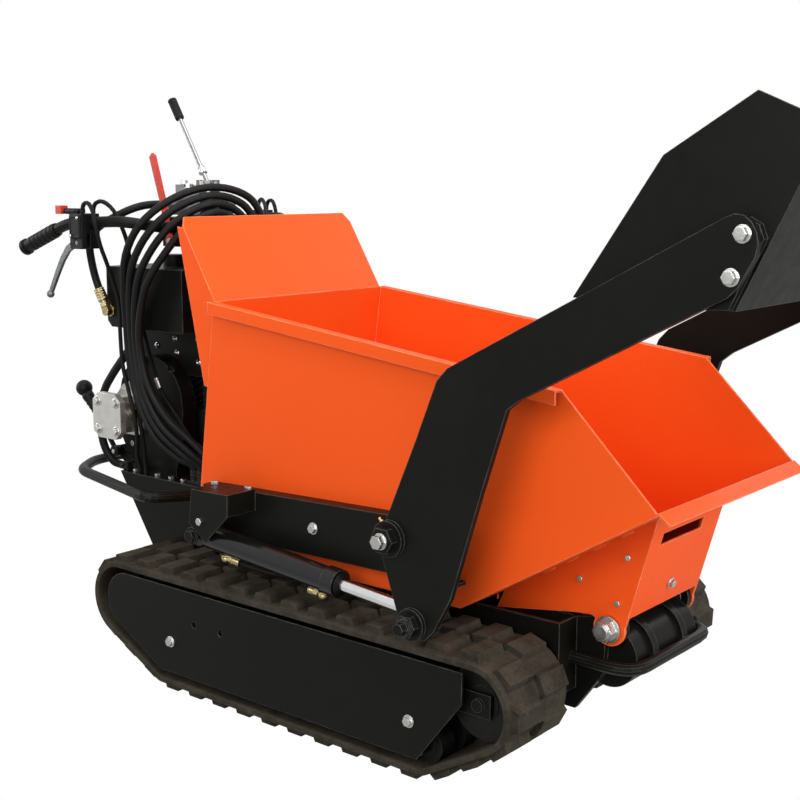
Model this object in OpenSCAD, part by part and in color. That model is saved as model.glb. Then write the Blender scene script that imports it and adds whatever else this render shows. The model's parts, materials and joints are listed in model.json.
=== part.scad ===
// Tracked power carrier with a forward tipping box and a self loading shovel.
// Millimetres. X points forward, Y to the machine's left, Z up, the ground is Z = 0.

/* [Tracks] */
// gap between the chassis side plates and the belts
belt_gap = 8.5; // [6:0.5:14]
// width of one rubber belt
belt_width = 180; // [150:1:230]
// thickness of the belt's carcass
belt_thick = 11; // [8:0.5:16]
// height of a tread lug
lug_height = 15; // [10:0.5:22]
// number of tread lugs in one row
lug_count = 34; // [28:1:40]
// radius of the belt's inner face at the end wheels
wheel_wrap = 72; // [60:1:90]
// height of the end wheels
wheel_height = 170; // [140:1:200]
// rear wheel position
sprocket_x = -472; // [-520:1:-420]
// front wheel position
idler_x = 480; // [420:1:540]
// radius of the small lower rollers
roller_radius = 32; // [26:1:38]
// position of the rear lower roller
roller_rear_x = -335; // [-360:1:-300]
// position of the front lower roller
roller_front_x = 362; // [330:1:390]
// teeth of the drive sprocket
sprocket_teeth = 11; // [9:1:14]

/* [Dump box] */
// sheet thickness of the box
box_sheet = 4; // [3:0.5:6]
// half of the box's outer width over the walls
box_half = 266; // [240:1:290]
// half of the width over the folded rim
rim_half = 283; // [260:1:305]
// height of the folded rim
rim_height = 25; // [16:1:32]
// underside of the floor
floor_z = 304; // [300:1:320]
// rear rim corner, x
rim_rear_x = -262; // [-280:1:-240]
// rear rim corner, z
rim_rear_z = 826; // [780:1:870]
// front rim corner, x
rim_front_x = 585; // [550:1:620]
// front rim corner, z
rim_front_z = 727; // [690:1:760]
// pouring lip, x
lip_x = 774; // [740:1:800]
// pouring lip, z
lip_z = 541; // [520:1:570]
// start of the rising chute floor, x
knee_x = 381; // [360:1:400]
// rear bottom corner, x
rear_low_x = -331; // [-345:1:-315]
// height of the headboard above the rim
headboard_rise = 171; // [140:1:200]
// backward lean of the headboard at its top
headboard_lean = 104; // [80:1:120]
// half width of the headboard
headboard_half = 262; // [245:1:265]

/* [Tipping hinge] */
// hinge axis, x
tip_x = 612; // [600:1:620]
// hinge axis, z
tip_z = 281; // [276:1:288]
// half width over the orange hinge pedestal
pedestal_half = 132; // [120:1:140]
// sheet thickness of the pedestal
pedestal_sheet = 6; // [4:0.5:8]
// radius of the hinge shaft
tip_shaft = 14; // [10:0.5:18]

/* [Loader] */
// inner face of the loader arms
arm_inner = 376; // [374:0.5:384]
// arm plate thickness
arm_thick = 12; // [8:1:16]
// arm pivot, x
arm_x = 316; // [306:1:326]
// arm pivot, z
arm_z = 450; // [444:1:456]
// radius of the arm's pivot pin
arm_pin = 15; // [12:0.5:18]
// lower arm pin, x
rod_x = 367; // [360:1:374]
// lower arm pin, z
rod_z = 304; // [302:1:310]
// radius of the lower pin
rod_pin = 9; // [7:0.5:10]
// corner between the shovel's floor and back, x
heel_x = 937; // [925:1:950]
// corner between the shovel's floor and back, z
heel_z = 886; // [875:1:900]
// angle of the shovel's floor in the shown position
shovel_angle = 64.4; // [60:0.1:68]
// depth of the shovel's floor
shovel_depth = 288; // [260:1:310]
// sheet thickness of the shovel
shovel_sheet = 6; // [4:0.5:8]
// half width over the shovel's side plates
shovel_half = 364; // [350:0.5:366]

/* [Hydraulics] */
// centre line of the lift cylinders, from the middle
lift_y = 340; // [335:1:345]
// barrel radius of the lift cylinders
lift_barrel_r = 25; // [20:0.5:26]
// rod radius of the lift cylinders
lift_rod_r = 12.5; // [10:0.5:15]
// rear pin of the lift cylinders, x
lift_pin_x = -230; // [-238:1:-224]
// rear pin of the lift cylinders, z
lift_pin_z = 355; // [350:1:360]
// barrel radius of the tipping cylinder
tip_barrel_r = 30; // [24:1:34]
// rod radius of the tipping cylinder
tip_rod_r = 17; // [12:1:20]
// hose radius
hose_r = 8.5; // [6:0.5:10]

/* [Chassis] */
// outer face of the chassis side plates
chassis_half = 183; // [175:1:186]
// chassis plate thickness
chassis_plate = 8; // [6:1:10]
// underside of the chassis
chassis_low = 110; // [90:1:130]
// top of the front chassis
chassis_top = 288; // [280:1:292]
// top of the rear deck
deck_z = 395; // [380:1:405]
// radius of the guard tubes
guard_r = 12; // [9:0.5:14]

/* [Controls] */
// radius of the handlebar tube
bar_r = 13; // [11:0.5:15]
// radius of the rubber grips
grip_r = 17; // [15.5:0.5:20]
// length of the valve lever
valve_lever_len = 221; // [150:1:240]

/* [Clearances] */
// radial play of a pin in its bore
run_fit = 0.05; // [0.02:0.01:0.1]
// gap between bodies that pass each other
pass_gap = 0.4; // [0.3:0.05:1]

/* [Hidden] */
$fn = 48;
fine = 64;
track_inner = chassis_half + belt_gap;
track_outer = track_inner + belt_width;
track_mid = track_outer - belt_width/2;
inner_low = belt_thick + lug_height;
wheel_r = wheel_wrap - 0.6;
roller_wrap = roller_radius + 0.6;
roller_z = inner_low + roller_wrap;
roller_mid_x = (roller_rear_x + roller_front_x)/2;
chassis_in = chassis_half - chassis_plate;
gear_half = chassis_in - 45;
port_y = chassis_half - 20;
drum_x = tip_x - 11;
drum_z = tip_z - 59;
drum_r = 58;
front_x = drum_x + 71;
perch_x = -672;
perch_z = 936;
thumb_x = -684;
frame_in = track_inner + 9;
cover_out = track_outer - 2.5;
cover_in = cover_out - 5;
rim_slope = (rim_front_z - rim_rear_z)/(rim_front_x - rim_rear_x);
chute_slope = (lip_z - floor_z)/(lip_x - knee_x);
chute_angle = atan(chute_slope);
head_x = rim_rear_x - headboard_lean;
head_z = rim_rear_z + headboard_rise;
arm_outer = arm_inner + arm_thick;
rail_web = 290;
rail_out = rail_web + 8;
hood_out = 375;
lift_len = norm([rod_x - lift_pin_x, rod_z - lift_pin_z]);
lift_dir = atan2(rod_z - lift_pin_z, rod_x - lift_pin_x);
tip_c = [60, 170];
tip_d = [440, 245];
tip_len = norm(tip_d - tip_c);
tip_dir = atan2(tip_d[1] - tip_c[1], tip_d[0] - tip_c[0]);
gear_knob_end = -882;
origin_x = (heel_x + (shovel_depth + 22)*cos(shovel_angle) + gear_knob_end)/2;
pivot_half = pedestal_half - pedestal_sheet - 2;
pivot_in = pivot_half - 12;
lever_y = -60;
lever_x = -497;
lever_z = 1066;
valve_low = 996;

// shared helpers
function unit(v) = v/norm(v);
function spline_at(a, b, c, d, t) =
  0.5*(2*b + (c - a)*t + (2*a - 5*b + 4*c - d)*t*t + (3*b - a - 3*c + d)*t*t*t);
function spline(P, n) = concat(
  [for (i = [0:len(P) - 2]) for (k = [0:n - 1])
    spline_at(P[max(i - 1, 0)], P[i], P[i + 1], P[min(i + 2, len(P) - 1)], k/n)],
  [P[len(P) - 1]]);
function bend_at(a, b, c, r, n) =
  let (p = b + unit(a - b)*r, q = b + unit(c - b)*r)
  [for (k = [0:n]) let (t = k/n) (1 - t)*(1 - t)*p + 2*t*(1 - t)*b + t*t*q];
function bent(P, r, n) = concat(
  [P[0]],
  [for (i = [1:len(P) - 2]) each bend_at(P[i - 1], P[i], P[i + 1], r, n)],
  [P[len(P) - 1]]);
function flip(P) = [for (p = P) [p[0], -p[1], p[2]]];

module tube(P, r, ref, n = 10) {
  m = len(P);
  T = [for (i = [0:m - 1]) unit(P[min(i + 1, m - 1)] - P[max(i - 1, 0)])];
  rings = [for (i = [0:m - 1]) let (a = unit(cross(T[i], ref)), b = cross(T[i], a))
    each [for (j = [0:n - 1]) P[i] + r*(cos(360*j/n)*a + sin(360*j/n)*b)]];
  sides = [for (i = [0:m - 2]) for (j = [0:n - 1])
    let (a = i*n + j, b = i*n + (j + 1)%n)
    each [[a, a + n, b + n], [a, b + n, b]]];
  caps = [[for (j = [0:n - 1]) j], [for (j = [n - 1:-1:0]) (m - 1)*n + j]];
  polyhedron(rings, concat(sides, caps));
}

module plate_xz(pts, y0, y1)
  translate([0, y1, 0]) rotate([90, 0, 0]) linear_extrude(y1 - y0) polygon(pts);
module plate_yz(pts, x0, x1)
  translate([x0, 0, 0]) rotate([90, 0, 90]) linear_extrude(x1 - x0) polygon(pts);
module block(x0, x1, y0, y1, z0, z1)
  translate([x0, y0, z0]) cube([x1 - x0, y1 - y0, z1 - z0]);
module cyl_y(x, z, r, y0, y1)
  translate([x, y1, z]) rotate([90, 0, 0]) cylinder(r = r, h = y1 - y0);
module cyl_x(y, z, r, x0, x1)
  translate([x0, y, z]) rotate([0, 90, 0]) cylinder(r = r, h = x1 - x0);
module cyl_z(x, y, r, z0, z1)
  translate([x, y, z0]) cylinder(r = r, h = z1 - z0);
module rod(p, q, r) {
  d = q - p;
  translate(p) rotate([0, acos(d[2]/norm(d)), atan2(d[1], d[0])]) cylinder(r = r, h = norm(d));
}
module hex_y(x, z, r, y0, y1)
  translate([x, y1, z]) rotate([90, 0, 0]) cylinder(r = r, h = y1 - y0, $fn = 6);
module hex_z(x, y, r, z0, z1)
  translate([x, y, z0]) cylinder(r = r, h = z1 - z0, $fn = 6);
// moves the finished node so that the origin lies under the middle of the whole machine
module place() translate([-origin_x, 0, 0]) children();
module both() {
  children();
  mirror([0, 1, 0]) children();
}

// belt path: a loop of tangents round four circles, walked from the rear wheel along the ground
hubs = [
  [sprocket_x, wheel_height, wheel_wrap],
  [roller_rear_x, roller_z, roller_wrap],
  [roller_front_x, roller_z, roller_wrap],
  [idler_x, wheel_height, wheel_wrap]
];
function hub(i) = hubs[(i + 4)%4];
function leg_angle(i) =
  let (a = hub(i), b = hub(i + 1), d = norm([b[0] - a[0], b[1] - a[1]]))
  atan2(b[1] - a[1], b[0] - a[0]) + asin((a[2] - b[2])/d);
function out_angle(i) = leg_angle(i) - 90;
function turn(i) =
  let (d = out_angle(i) - out_angle(i - 1)) d < 0 ? d + 360 : d;
function arc_steps(i) = max(3, ceil(turn(i)/9));
function loop_at(off) = [for (i = [0:3]) for (k = [0:arc_steps(i)])
  let (a = out_angle(i - 1) + turn(i)*k/arc_steps(i), h = hub(i))
  [h[0] + (h[2] + off)*cos(a), h[1] + (h[2] + off)*sin(a), a]];
belt_line = loop_at(belt_thick);
belt_n = len(belt_line);
function run_to(i) = i == 0 ? 0 : run_to(i - 1)
  + norm([belt_line[i][0] - belt_line[i - 1][0], belt_line[i][1] - belt_line[i - 1][1]]);
belt_s = [for (i = [0:belt_n - 1]) run_to(i)];
belt_close = norm([belt_line[0][0] - belt_line[belt_n - 1][0],
  belt_line[0][1] - belt_line[belt_n - 1][1]]);
belt_len = belt_s[belt_n - 1] + belt_close;
lug_pitch = belt_len/lug_count;
table_x = concat([for (i = [0:belt_n - 1]) [belt_s[i], belt_line[i][0]]], [[belt_len, belt_line[0][0]]]);
table_z = concat([for (i = [0:belt_n - 1]) [belt_s[i], belt_line[i][1]]], [[belt_len, belt_line[0][1]]]);
function wrapped(s) = s - belt_len*floor(s/belt_len);
function on_belt(s) = [lookup(wrapped(s), table_x), lookup(wrapped(s), table_z)];
function belt_out(s) =
  let (d = on_belt(s + 4) - on_belt(s - 4), u = d/norm(d)) [u[1], -u[0]];
function lug_points(phase) = [for (i = [0:lug_count - 1])
  let (s = (i + phase)*lug_pitch)
  each [
    on_belt(s - 0.36*lug_pitch) - 3*belt_out(s - 0.36*lug_pitch),
    on_belt(s - 0.25*lug_pitch) + lug_height*belt_out(s),
    on_belt(s + 0.25*lug_pitch) + lug_height*belt_out(s),
    on_belt(s + 0.36*lug_pitch) - 3*belt_out(s + 0.36*lug_pitch)]];
function flat(P) = [for (p = P) [p[0], p[1]]];

module belt_right() {
  color([0.17, 0.15, 0.13]) {
    difference() {
      plate_xz(flat(belt_line), -track_outer, -track_inner);
      plate_xz(flat(loop_at(0)), -track_outer - 1, -track_inner + 1);
    }
    difference() {
      plate_xz(lug_points(0), -track_outer + 12, -track_mid - 4);
      plate_xz(flat(loop_at(belt_thick/2)), -track_outer, -track_mid);
    }
    difference() {
      plate_xz(lug_points(0.5), -track_mid + 4, -track_inner - 12);
      plate_xz(flat(loop_at(belt_thick/2)), -track_mid, -track_inner);
    }
  }
}
module track_belt_right() place() belt_right();
module track_belt_left() place() mirror([0, 1, 0]) belt_right();

cover_arc = [for (a = [90:15:225]) [-450 + 62*cos(a), 170 + 62*sin(a)]];
cover_shape = concat(cover_arc, [[-340, 43], [361, 43], [461, 172], [462, 231]]);
module axle(x, z, r) cyl_y(x, z, r, -cover_in, -frame_in - 6);
module frame_side() {
  color([0.06, 0.06, 0.06]) {
    difference() {
      plate_xz(cover_shape, -cover_out, -cover_in);
      for (x = [-230, -151]) cyl_y(x, 164, 7, -cover_out - 1, -cover_in + 1);
    }
    difference() {
      plate_xz([[-430, 225], [-500, 170], [-470, 120], [-345, 62], [365, 62], [420, 120], [420, 225]],
        -frame_in - 6, -frame_in);
      cyl_y(sprocket_x, wheel_height, 30, -frame_in - 7, -frame_in + 1);
    }
    for (x = [-304, 20, 344]) cyl_y(x, 112, 14, -cover_in, -frame_in - 6);
    axle(roller_rear_x, roller_z, 10);
    axle(roller_mid_x, roller_z, 10);
    axle(roller_front_x, roller_z, 10);
    // yoke arms that hold the front wheel
    for (y = [-track_mid - 62.5, -track_mid + 54.5])
      block(330, 505, y, y + 8, wheel_height - 22, wheel_height + 22);
    for (x = [345, 392]) cyl_y(x, wheel_height, 12, -track_mid - 54.5, -track_mid + 54.5);
    block(322, 340, -frame_in - 22, -frame_in - 6, wheel_height - 22, wheel_height + 22);
    block(322, 400, -track_mid + 54.5, -frame_in - 22 + 5, wheel_height - 10, wheel_height + 10);
    cyl_y(idler_x, wheel_height, 12, -track_mid - 68.5, -track_mid + 69.5);
    // ties to the chassis
    for (x = [-250, 250]) cyl_y(x, 165, 26, -frame_in, -chassis_half);
  }
}
module track_frame_right() place() frame_side();
module track_frame_left() place() mirror([0, 1, 0]) frame_side();

module sprocket_side() {
  root = wheel_r - 14;
  tooth = [for (i = [0:sprocket_teeth - 1]) let (a = 360*i/sprocket_teeth, h = 180/sprocket_teeth)
    each [
      [root*cos(a - 0.62*h), root*sin(a - 0.62*h)],
      [wheel_r*cos(a - 0.22*h), wheel_r*sin(a - 0.22*h)],
      [wheel_r*cos(a + 0.22*h), wheel_r*sin(a + 0.22*h)],
      [root*cos(a + 0.62*h), root*sin(a + 0.62*h)]]];
  color([0.22, 0.22, 0.22]) {
    translate([sprocket_x, -track_mid + 16, wheel_height]) rotate([90, 0, 0])
      linear_extrude(32) difference() {
        polygon(tooth);
        for (a = [36:72:360]) translate([36*cos(a), 36*sin(a)]) circle(r = 8);
      }
    cyl_y(sprocket_x, wheel_height, 24, -track_mid - 34, -track_mid + 34);
    cyl_y(sprocket_x, wheel_height, 15, -track_mid + 34, -gear_half + 25);
    hex_y(sprocket_x, wheel_height, 15, -track_mid - 48, -track_mid - 34);
  }
}
module drive_sprocket_right() place() sprocket_side();
module drive_sprocket_left() place() mirror([0, 1, 0]) sprocket_side();

module spool(x, z, r, hub_r, bore, half, rim) {
  difference() {
    union() {
      cyl_y(x, z, hub_r, -track_mid - half, -track_mid + half);
      cyl_y(x, z, r, -track_mid - half + 4, -track_mid - half + 4 + rim);
      cyl_y(x, z, r, -track_mid + half - 4 - rim, -track_mid + half - 4);
    }
    cyl_y(x, z, bore + run_fit, -track_mid - half - 1, -track_mid + half + 1);
  }
}
module idler_side() color([0.2, 0.2, 0.2]) spool(idler_x, wheel_height, wheel_r, 32, 12, 50, 30);
module idler_right() place() idler_side();
module idler_left() place() mirror([0, 1, 0]) idler_side();
module roller_side(x) color([0.2, 0.2, 0.2]) spool(x, roller_z, roller_radius, 19, 10, 58, 40);
module roller_right_rear() place() roller_side(roller_rear_x);
module roller_right_mid() place() roller_side(roller_mid_x);
module roller_right_front() place() roller_side(roller_front_x);
module roller_left_rear() place() mirror([0, 1, 0]) roller_side(roller_rear_x);
module roller_left_mid() place() mirror([0, 1, 0]) roller_side(roller_mid_x);
module roller_left_front() place() mirror([0, 1, 0]) roller_side(roller_front_x);

module chassis_frame() place() {
  side = [[-690, deck_z], [-352, deck_z], [-352, chassis_top], [540, chassis_top], [540, 150],
    [500, chassis_low], [-540, chassis_low], [-581, 233]];
  nose = [[400, chassis_low], [540, chassis_low], [598, 190], [600, 250], [590, 300], [548, chassis_top],
    [400, chassis_top]];
  color([0.06, 0.06, 0.06]) {
    both() difference() {
      union() {
        plate_xz(side, -chassis_half, -chassis_in);
        plate_xz(nose, -pivot_half, -pivot_in);
        cyl_y(tip_x, tip_z, 30, -pivot_half, -pivot_in);
        // rest pad for the lowered box
        block(-320, -260, -chassis_half, -chassis_in + 14, chassis_top, floor_z - pass_gap);
        // cheeks for the tipping cylinder
        block(30, 95, -44, -34, chassis_low + 6, 196);
      }
      cyl_y(sprocket_x, wheel_height, 22, -chassis_half - 1, -chassis_in + 1);
      cyl_y(tip_x, tip_z, tip_shaft, -pivot_half - 1, -pivot_in + 1);
      cyl_y(tip_c[0], tip_c[1], 11 + run_fit, -45, -33);
    }
    block(-690, -352, -chassis_in, chassis_in, deck_z - 7, deck_z);
    // bracket of the gear lever
    plate_xz([[-690, deck_z - 7], [-690, deck_z], [-735, 446], [-757, 440], [-757, 420], [-706, deck_z - 7]],
      -138, -130);
    block(-540, 500, -chassis_in, chassis_in, chassis_low, chassis_low + 6);
    block(534, 540, -chassis_in, -pivot_half, 150, chassis_top);
    block(534, 540, pivot_half, chassis_in, 150, chassis_top);
    block(-358, -352, -chassis_in, chassis_in, chassis_top - 60, deck_z - 7);
    block(-100, -60, -chassis_in, chassis_in, chassis_low + 6, 180);
    block(300, 330, -chassis_in, chassis_in, chassis_low + 6, 150);
    // round cross member at the hinge
    cyl_y(drum_x, drum_z, drum_r, -pivot_in, pivot_in);
  }
}

front_half = concat([[540, -pivot_half - 14, 214]],
  bent([[548, -pivot_half - 14, 214], [front_x, -150, 217], [front_x, 0, 217]], 52, 6));
rear_half = concat([[-400, -chassis_half, 382]],
  bent([[-400, -chassis_half - 8, 382], [-432, -chassis_half - 133, 392], [-770, -238, 395],
    [-835, -146, 395], [-835, 0, 395]], 36, 5));
function closed(P) = concat(P, [for (i = [len(P) - 2:-1:0]) [P[i][0], -P[i][1], P[i][2]]]);
module rib(y) {
  arc = [for (a = [72:-8:-8]) a];
  outer = [for (a = arc) [drum_x + (drum_r + 8)*cos(a), drum_z + (drum_r + 8)*sin(a)]];
  seat_r = drum_r + 0.5;
  inner = [for (i = [len(arc) - 1:-1:0]) [drum_x + seat_r*cos(arc[i]), drum_z + seat_r*sin(arc[i])]];
  plate_xz(concat(outer, inner), y - 9, y + 9);
}
module tube_guards() place() {
  color([0.05, 0.05, 0.05]) {
    tube(closed(front_half), guard_r, [0, 0, 1], 12);
    tube(closed(rear_half), guard_r, [0, 0, 1], 12);
    for (y = [-55, 55]) rib(y);
  }
}

module gearbox() place() {
  color([0.2, 0.2, 0.21]) {
    difference() {
      union() {
        block(-545, -400, -gear_half, gear_half, 122, 300);
        both() cyl_y(sprocket_x, wheel_height, 46, -gear_half - 20, -gear_half);
        block(-520, -430, -60, 60, 300, deck_z - 7);
        cyl_y(-475, 262, 40, -gear_half - 14, -gear_half);
      }
      both() cyl_y(sprocket_x, wheel_height, 15 + run_fit, -gear_half - 21, -gear_half + 30);
    }
    both() for (x = [-520, -425])
      block(x - 14, x + 14, -gear_half + 10, -gear_half + 40, chassis_low + 6, 122);
  }
}

module engine_block() place() {
  color([0.1, 0.1, 0.1]) {
    block(-640, -470, -88, 92, deck_z, deck_z + 18);
    block(-625, -485, -80, 84, deck_z + 18, 545);
    // finned cylinder barrel, leaning back
    translate([-560, 10, 520]) rotate([0, -25, 0]) {
      block(-45, 45, -45, 45, 0, 120);
      for (k = [0:5]) block(-58, 58, -58, 58, 30 + k*14, 34 + k*14);
      block(-52, 52, -52, 52, 120, 150);
      // exhaust flange
      block(45, 60, -8, 28, 8, 40);
    }
    cyl_y(-550, 480, 16, -99, -80);
  }
}
pull_at = [-520, 155, 566];
module engine_shroud() place() {
  color([0.04, 0.04, 0.04]) difference() {
    union() {
      cyl_y(-550, 500, 98, 92, 150);
      cyl_y(-550, 500, 74, 150, 172);
    }
    cyl_y(-550, 500, 62, 91, 120);
    for (a = [0:30:330])
      translate([-550 + 56*cos(a), 160, 500 + 56*sin(a)]) rotate([90, -a, 0]) translate([0, 0, -13])
        linear_extrude(14) square([22, 7], center = true);
    translate(pull_at) rotate([0, 25, 0]) translate([0, 0, -24]) cylinder(r = 4 + run_fit, h = 60);
  }
}
module recoil_handle() place() {
  color([0.05, 0.05, 0.05]) translate(pull_at) rotate([0, 25, 0]) {
    translate([0, 0, -22]) cylinder(r = 4, h = 56);
    translate([0, -24, 34]) rotate([-90, 0, 0]) cylinder(r = 8, h = 48);
  }
}
module muffler() place() {
  color([0.14, 0.13, 0.12]) {
    cyl_y(-445, 590, 38, -60, 80);
    cyl_y(-445, 590, 30, 80, 92);
    rod([-515.77, 20, 567.1], [-477.7, 20, 584.86], 12);
    rod([-445, 60, 552], [-430, 60, 520], 9);
  }
}
module air_filter() place() {
  color([0.05, 0.05, 0.05]) {
    block(-756, -684, -50, 70, 560, 650);
    cyl_x(10, 605, 30, -766, -756);
    rod([-686, 10, 600.7], [-660, 10, 591.7], 15);
  }
}
module fuel_tank() place() {
  color([0.07, 0.07, 0.07]) {
    block(-668, -480, -70, 120, 682, 730);
    cyl_z(-600, 60, 24, 730, 737);
    for (x = [-650, -498]) for (y = [95, 112]) block(x - 4, x + 4, y - 4, y + 4, 600, 682);
    block(-654, -494, 88, 118, 598.4, 604);
  }
}

casing_arc = [for (a = [0:12:180]) [-625 + 112*cos(a), 560 + 112*sin(a)]];
module bell_casing() place() {
  color([0.04, 0.04, 0.04]) difference() {
    plate_xz(concat(casing_arc, [[-737, 470], [-700, 412], [-540, 412], [-513, 470]]), -140, -100);
    cyl_y(-550, 480, 20, -120, -99);
    plate_xz([[-560, 640], [-528, 640], [-528, 690], [-560, 690]], -141, -130);
  }
  color([0.04, 0.04, 0.04]) block(-690, -540, -140, -100, deck_z, 412);
}
pump_c = [-672, 535];
module gear_pump() place() {
  oct = [[-30, -53], [30, -53], [50, -35], [50, 35], [30, 53], [-30, 53], [-50, 35], [-50, -35]];
  cover = [for (p = oct) [pump_c[0] + p[0], pump_c[1] + p[1]]];
  body = [for (p = oct) [pump_c[0] + 0.8*p[0], pump_c[1] + 0.8*p[1]]];
  color([0.62, 0.62, 0.6]) {
    plate_xz(cover, -232, -216);
    plate_xz(body, -216, -166);
    plate_xz(cover, -166, -154);
    cyl_y(pump_c[0], pump_c[1] + 10, 62, -154, -140);
    for (p = [[-33, 33], [33, 33], [-33, -33], [33, -33]])
      hex_y(pump_c[0] + p[0], pump_c[1] + p[1], 8, -239, -232);
    cyl_x(-191, pump_c[1] + 6, 10, pump_c[0] + 40, pump_c[0] + 50);
    cyl_x(-191, pump_c[1] - 8, 12, pump_c[0] - 53, pump_c[0] - 40);
  }
}
gear_x = -745;
gear_z = 430;
gear_rise = 142;
gear_back = gear_x - gear_knob_end - 20;
gear_len = norm([gear_back, gear_rise]);
knob_side = [for (i = [0:16]) 20*[sin(i*11.25), -cos(i*11.25)]];
module gear_lever() place() color([0.05, 0.05, 0.05]) {
  difference() {
    cyl_y(gear_x, gear_z, 14, -158, -142);
    cyl_y(gear_x, gear_z, 5 + run_fit, -159, -141);
  }
  translate([gear_x, -150, gear_z]) rotate([0, -atan2(gear_back, gear_rise), 0]) {
    translate([0, 0, 10]) cylinder(r = 6, h = gear_len - 20);
    translate([0, 0, gear_len]) rotate_extrude() polygon(knob_side);
  }
}
tank_shape = [[-708, 752], [-694, 738], [-446, 738], [-446, 878], [-708, 878]];
module oil_tank() place() {
  color([0.05, 0.05, 0.05]) {
    plate_xz(tank_shape, -190, 190);
    difference() {
      cyl_z(-560, -110, 26, 878, 890);
      cyl_z(-560, -110, 15 + run_fit, 884, 891);
    }
    block(-446, -440, -140, 140, 760, 790);
    cyl_z(-652, -160, 12, 728, 738);
    // shield plate that hangs in front of the engine
    block(-696, -446, -98, -94, 628, 738);
  }
}
module oil_cap() place() {
  color([0.07, 0.07, 0.07]) {
    cyl_z(-560, -110, 15, 884.5, 890.4);
    translate([-560, -110, 890.4]) cylinder(r = 27, h = 16, $fn = 24);
  }
}
module control_console() place() {
  color([0.05, 0.05, 0.05]) {
    both() block(-440, -412, -140, -112, deck_z, 985);
    block(-440, -412, -112, 112, 760, 790);
    block(-600, -416, -124, 140, 985, 991);
    // flange that carries the hose ports
    block(-430, -418, -72, 46, 925, 985);
    // saddle that clamps the handlebar
    both() difference() {
      block(-520, -480, -150, -110, 960, 985);
      cyl_y(-500, 970, bar_r, -151, -109);
    }
    // bracket for the red lever
    block(-580, -520, -126, -118, 925, 991);
    // valve feet
    for (y = [-92, -28]) block(-555, -475, y - 6, y + 6, 991, valve_low);
  }
}
bar_half = bent([[-500, 0, 970], [-500, -190, 970], [-575, -250, 984], [-728, -277, 977],
  [-868, -291, 921]], 26, 5);
module handlebar() place() {
  color([0.05, 0.05, 0.05]) tube(closed_bar(bar_half), bar_r - 0.3, [0, 0.05, 1], 14);
}
function closed_bar(P) = concat([for (i = [len(P) - 1:-1:1]) P[i]], [for (p = P) [p[0], -p[1], p[2]]]);
grip_a = [-763, -280.5, 963];
grip_b = [-868, -291, 921];
grip_u = unit(grip_b - grip_a);
module grip_side() {
  difference() {
    union() {
      rod(grip_a, grip_b + 4*grip_u, grip_r - 1.5);
      for (k = [0:5]) rod(grip_a + (8 + 15*k)*grip_u, grip_a + (17 + 15*k)*grip_u, grip_r);
      rod(grip_b - 4*grip_u, grip_b + 5*grip_u, grip_r + 2);
    }
    rod(grip_a - 2*grip_u, grip_b + 0.4*grip_u, bar_r);
  }
}
module hand_grips() place() color([0.05, 0.05, 0.05]) both() grip_side();

module perch_side() {
  difference() {
    block(perch_x - 22, perch_x + 22, -298, -248, perch_z - 14, perch_z + 64);
    rod([-640, -261.5, 981.03], [-704, -272.8, 978.1], bar_r + 0.6);
    block(perch_x - 23, perch_x + 23, -283, -275, perch_z - 15, perch_z + 20);
    cyl_y(perch_x, perch_z, 5 + run_fit, -300, -244);
  }
}
module lever_perches() place() color([0.05, 0.05, 0.05]) both() perch_side();
lever_path = [[perch_x + 2, perch_z + 5], [-699, 934], [-726, 920], [-748, 896],
  [-768, 867], [-786, 838], [-801, 814]];
function lever_side(k) = [for (i = [0:6])
  let (d = lever_path[min(i + 1, 6)] - lever_path[max(i - 1, 0)], u = d/norm(d))
  lever_path[i] + k*(9 - 0.7*i)*[-u[1], u[0]]];
module steer_side() {
  color([0.5, 0.51, 0.52]) {
    difference() {
      union() {
        plate_xz(concat(lever_side(1), [for (i = [6:-1:0]) lever_side(-1)[i]]), -282.5, -275.5);
        cyl_y(perch_x, perch_z, 10, -282.5, -275.5);
      }
      cyl_y(perch_x, perch_z, 5 - run_fit, -284, -274);
    }
    cyl_y(perch_x, perch_z, 5, -297, -249);
    translate([-801, -279, 814]) sphere(r = 9);
  }
}
module steer_lever_right() place() steer_side();
module steer_lever_left() place() mirror([0, 1, 0]) steer_side();
module throttle_lever() place() {
  color([0.75, 0.12, 0.1]) {
    difference() {
      union() {
        block(-744, thumb_x, -277, -269, 1001, 1008);
        cyl_z(thumb_x, -273, 9, perch_z + 64.6, 1010);
      }
      cyl_z(thumb_x, -273, 4 + run_fit, perch_z + 64, 1011);
    }
    block(-763, -743, -284, -264, 998, 1017);
  }
}
module clutch_lever() place() {
  color([0.78, 0.16, 0.12]) {
    difference() {
      union() {
        plate_xz([[-556, 932], [-538, 932], [-560, 1026], [-591, 1129], [-601, 1135], [-611, 1125],
          [-578, 1022]], -134, -128);
        cyl_y(-547, 938, 14, -135, -127);
      }
      cyl_y(-547, 938, 6 + run_fit, -136, -126);
    }
  }
}

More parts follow.
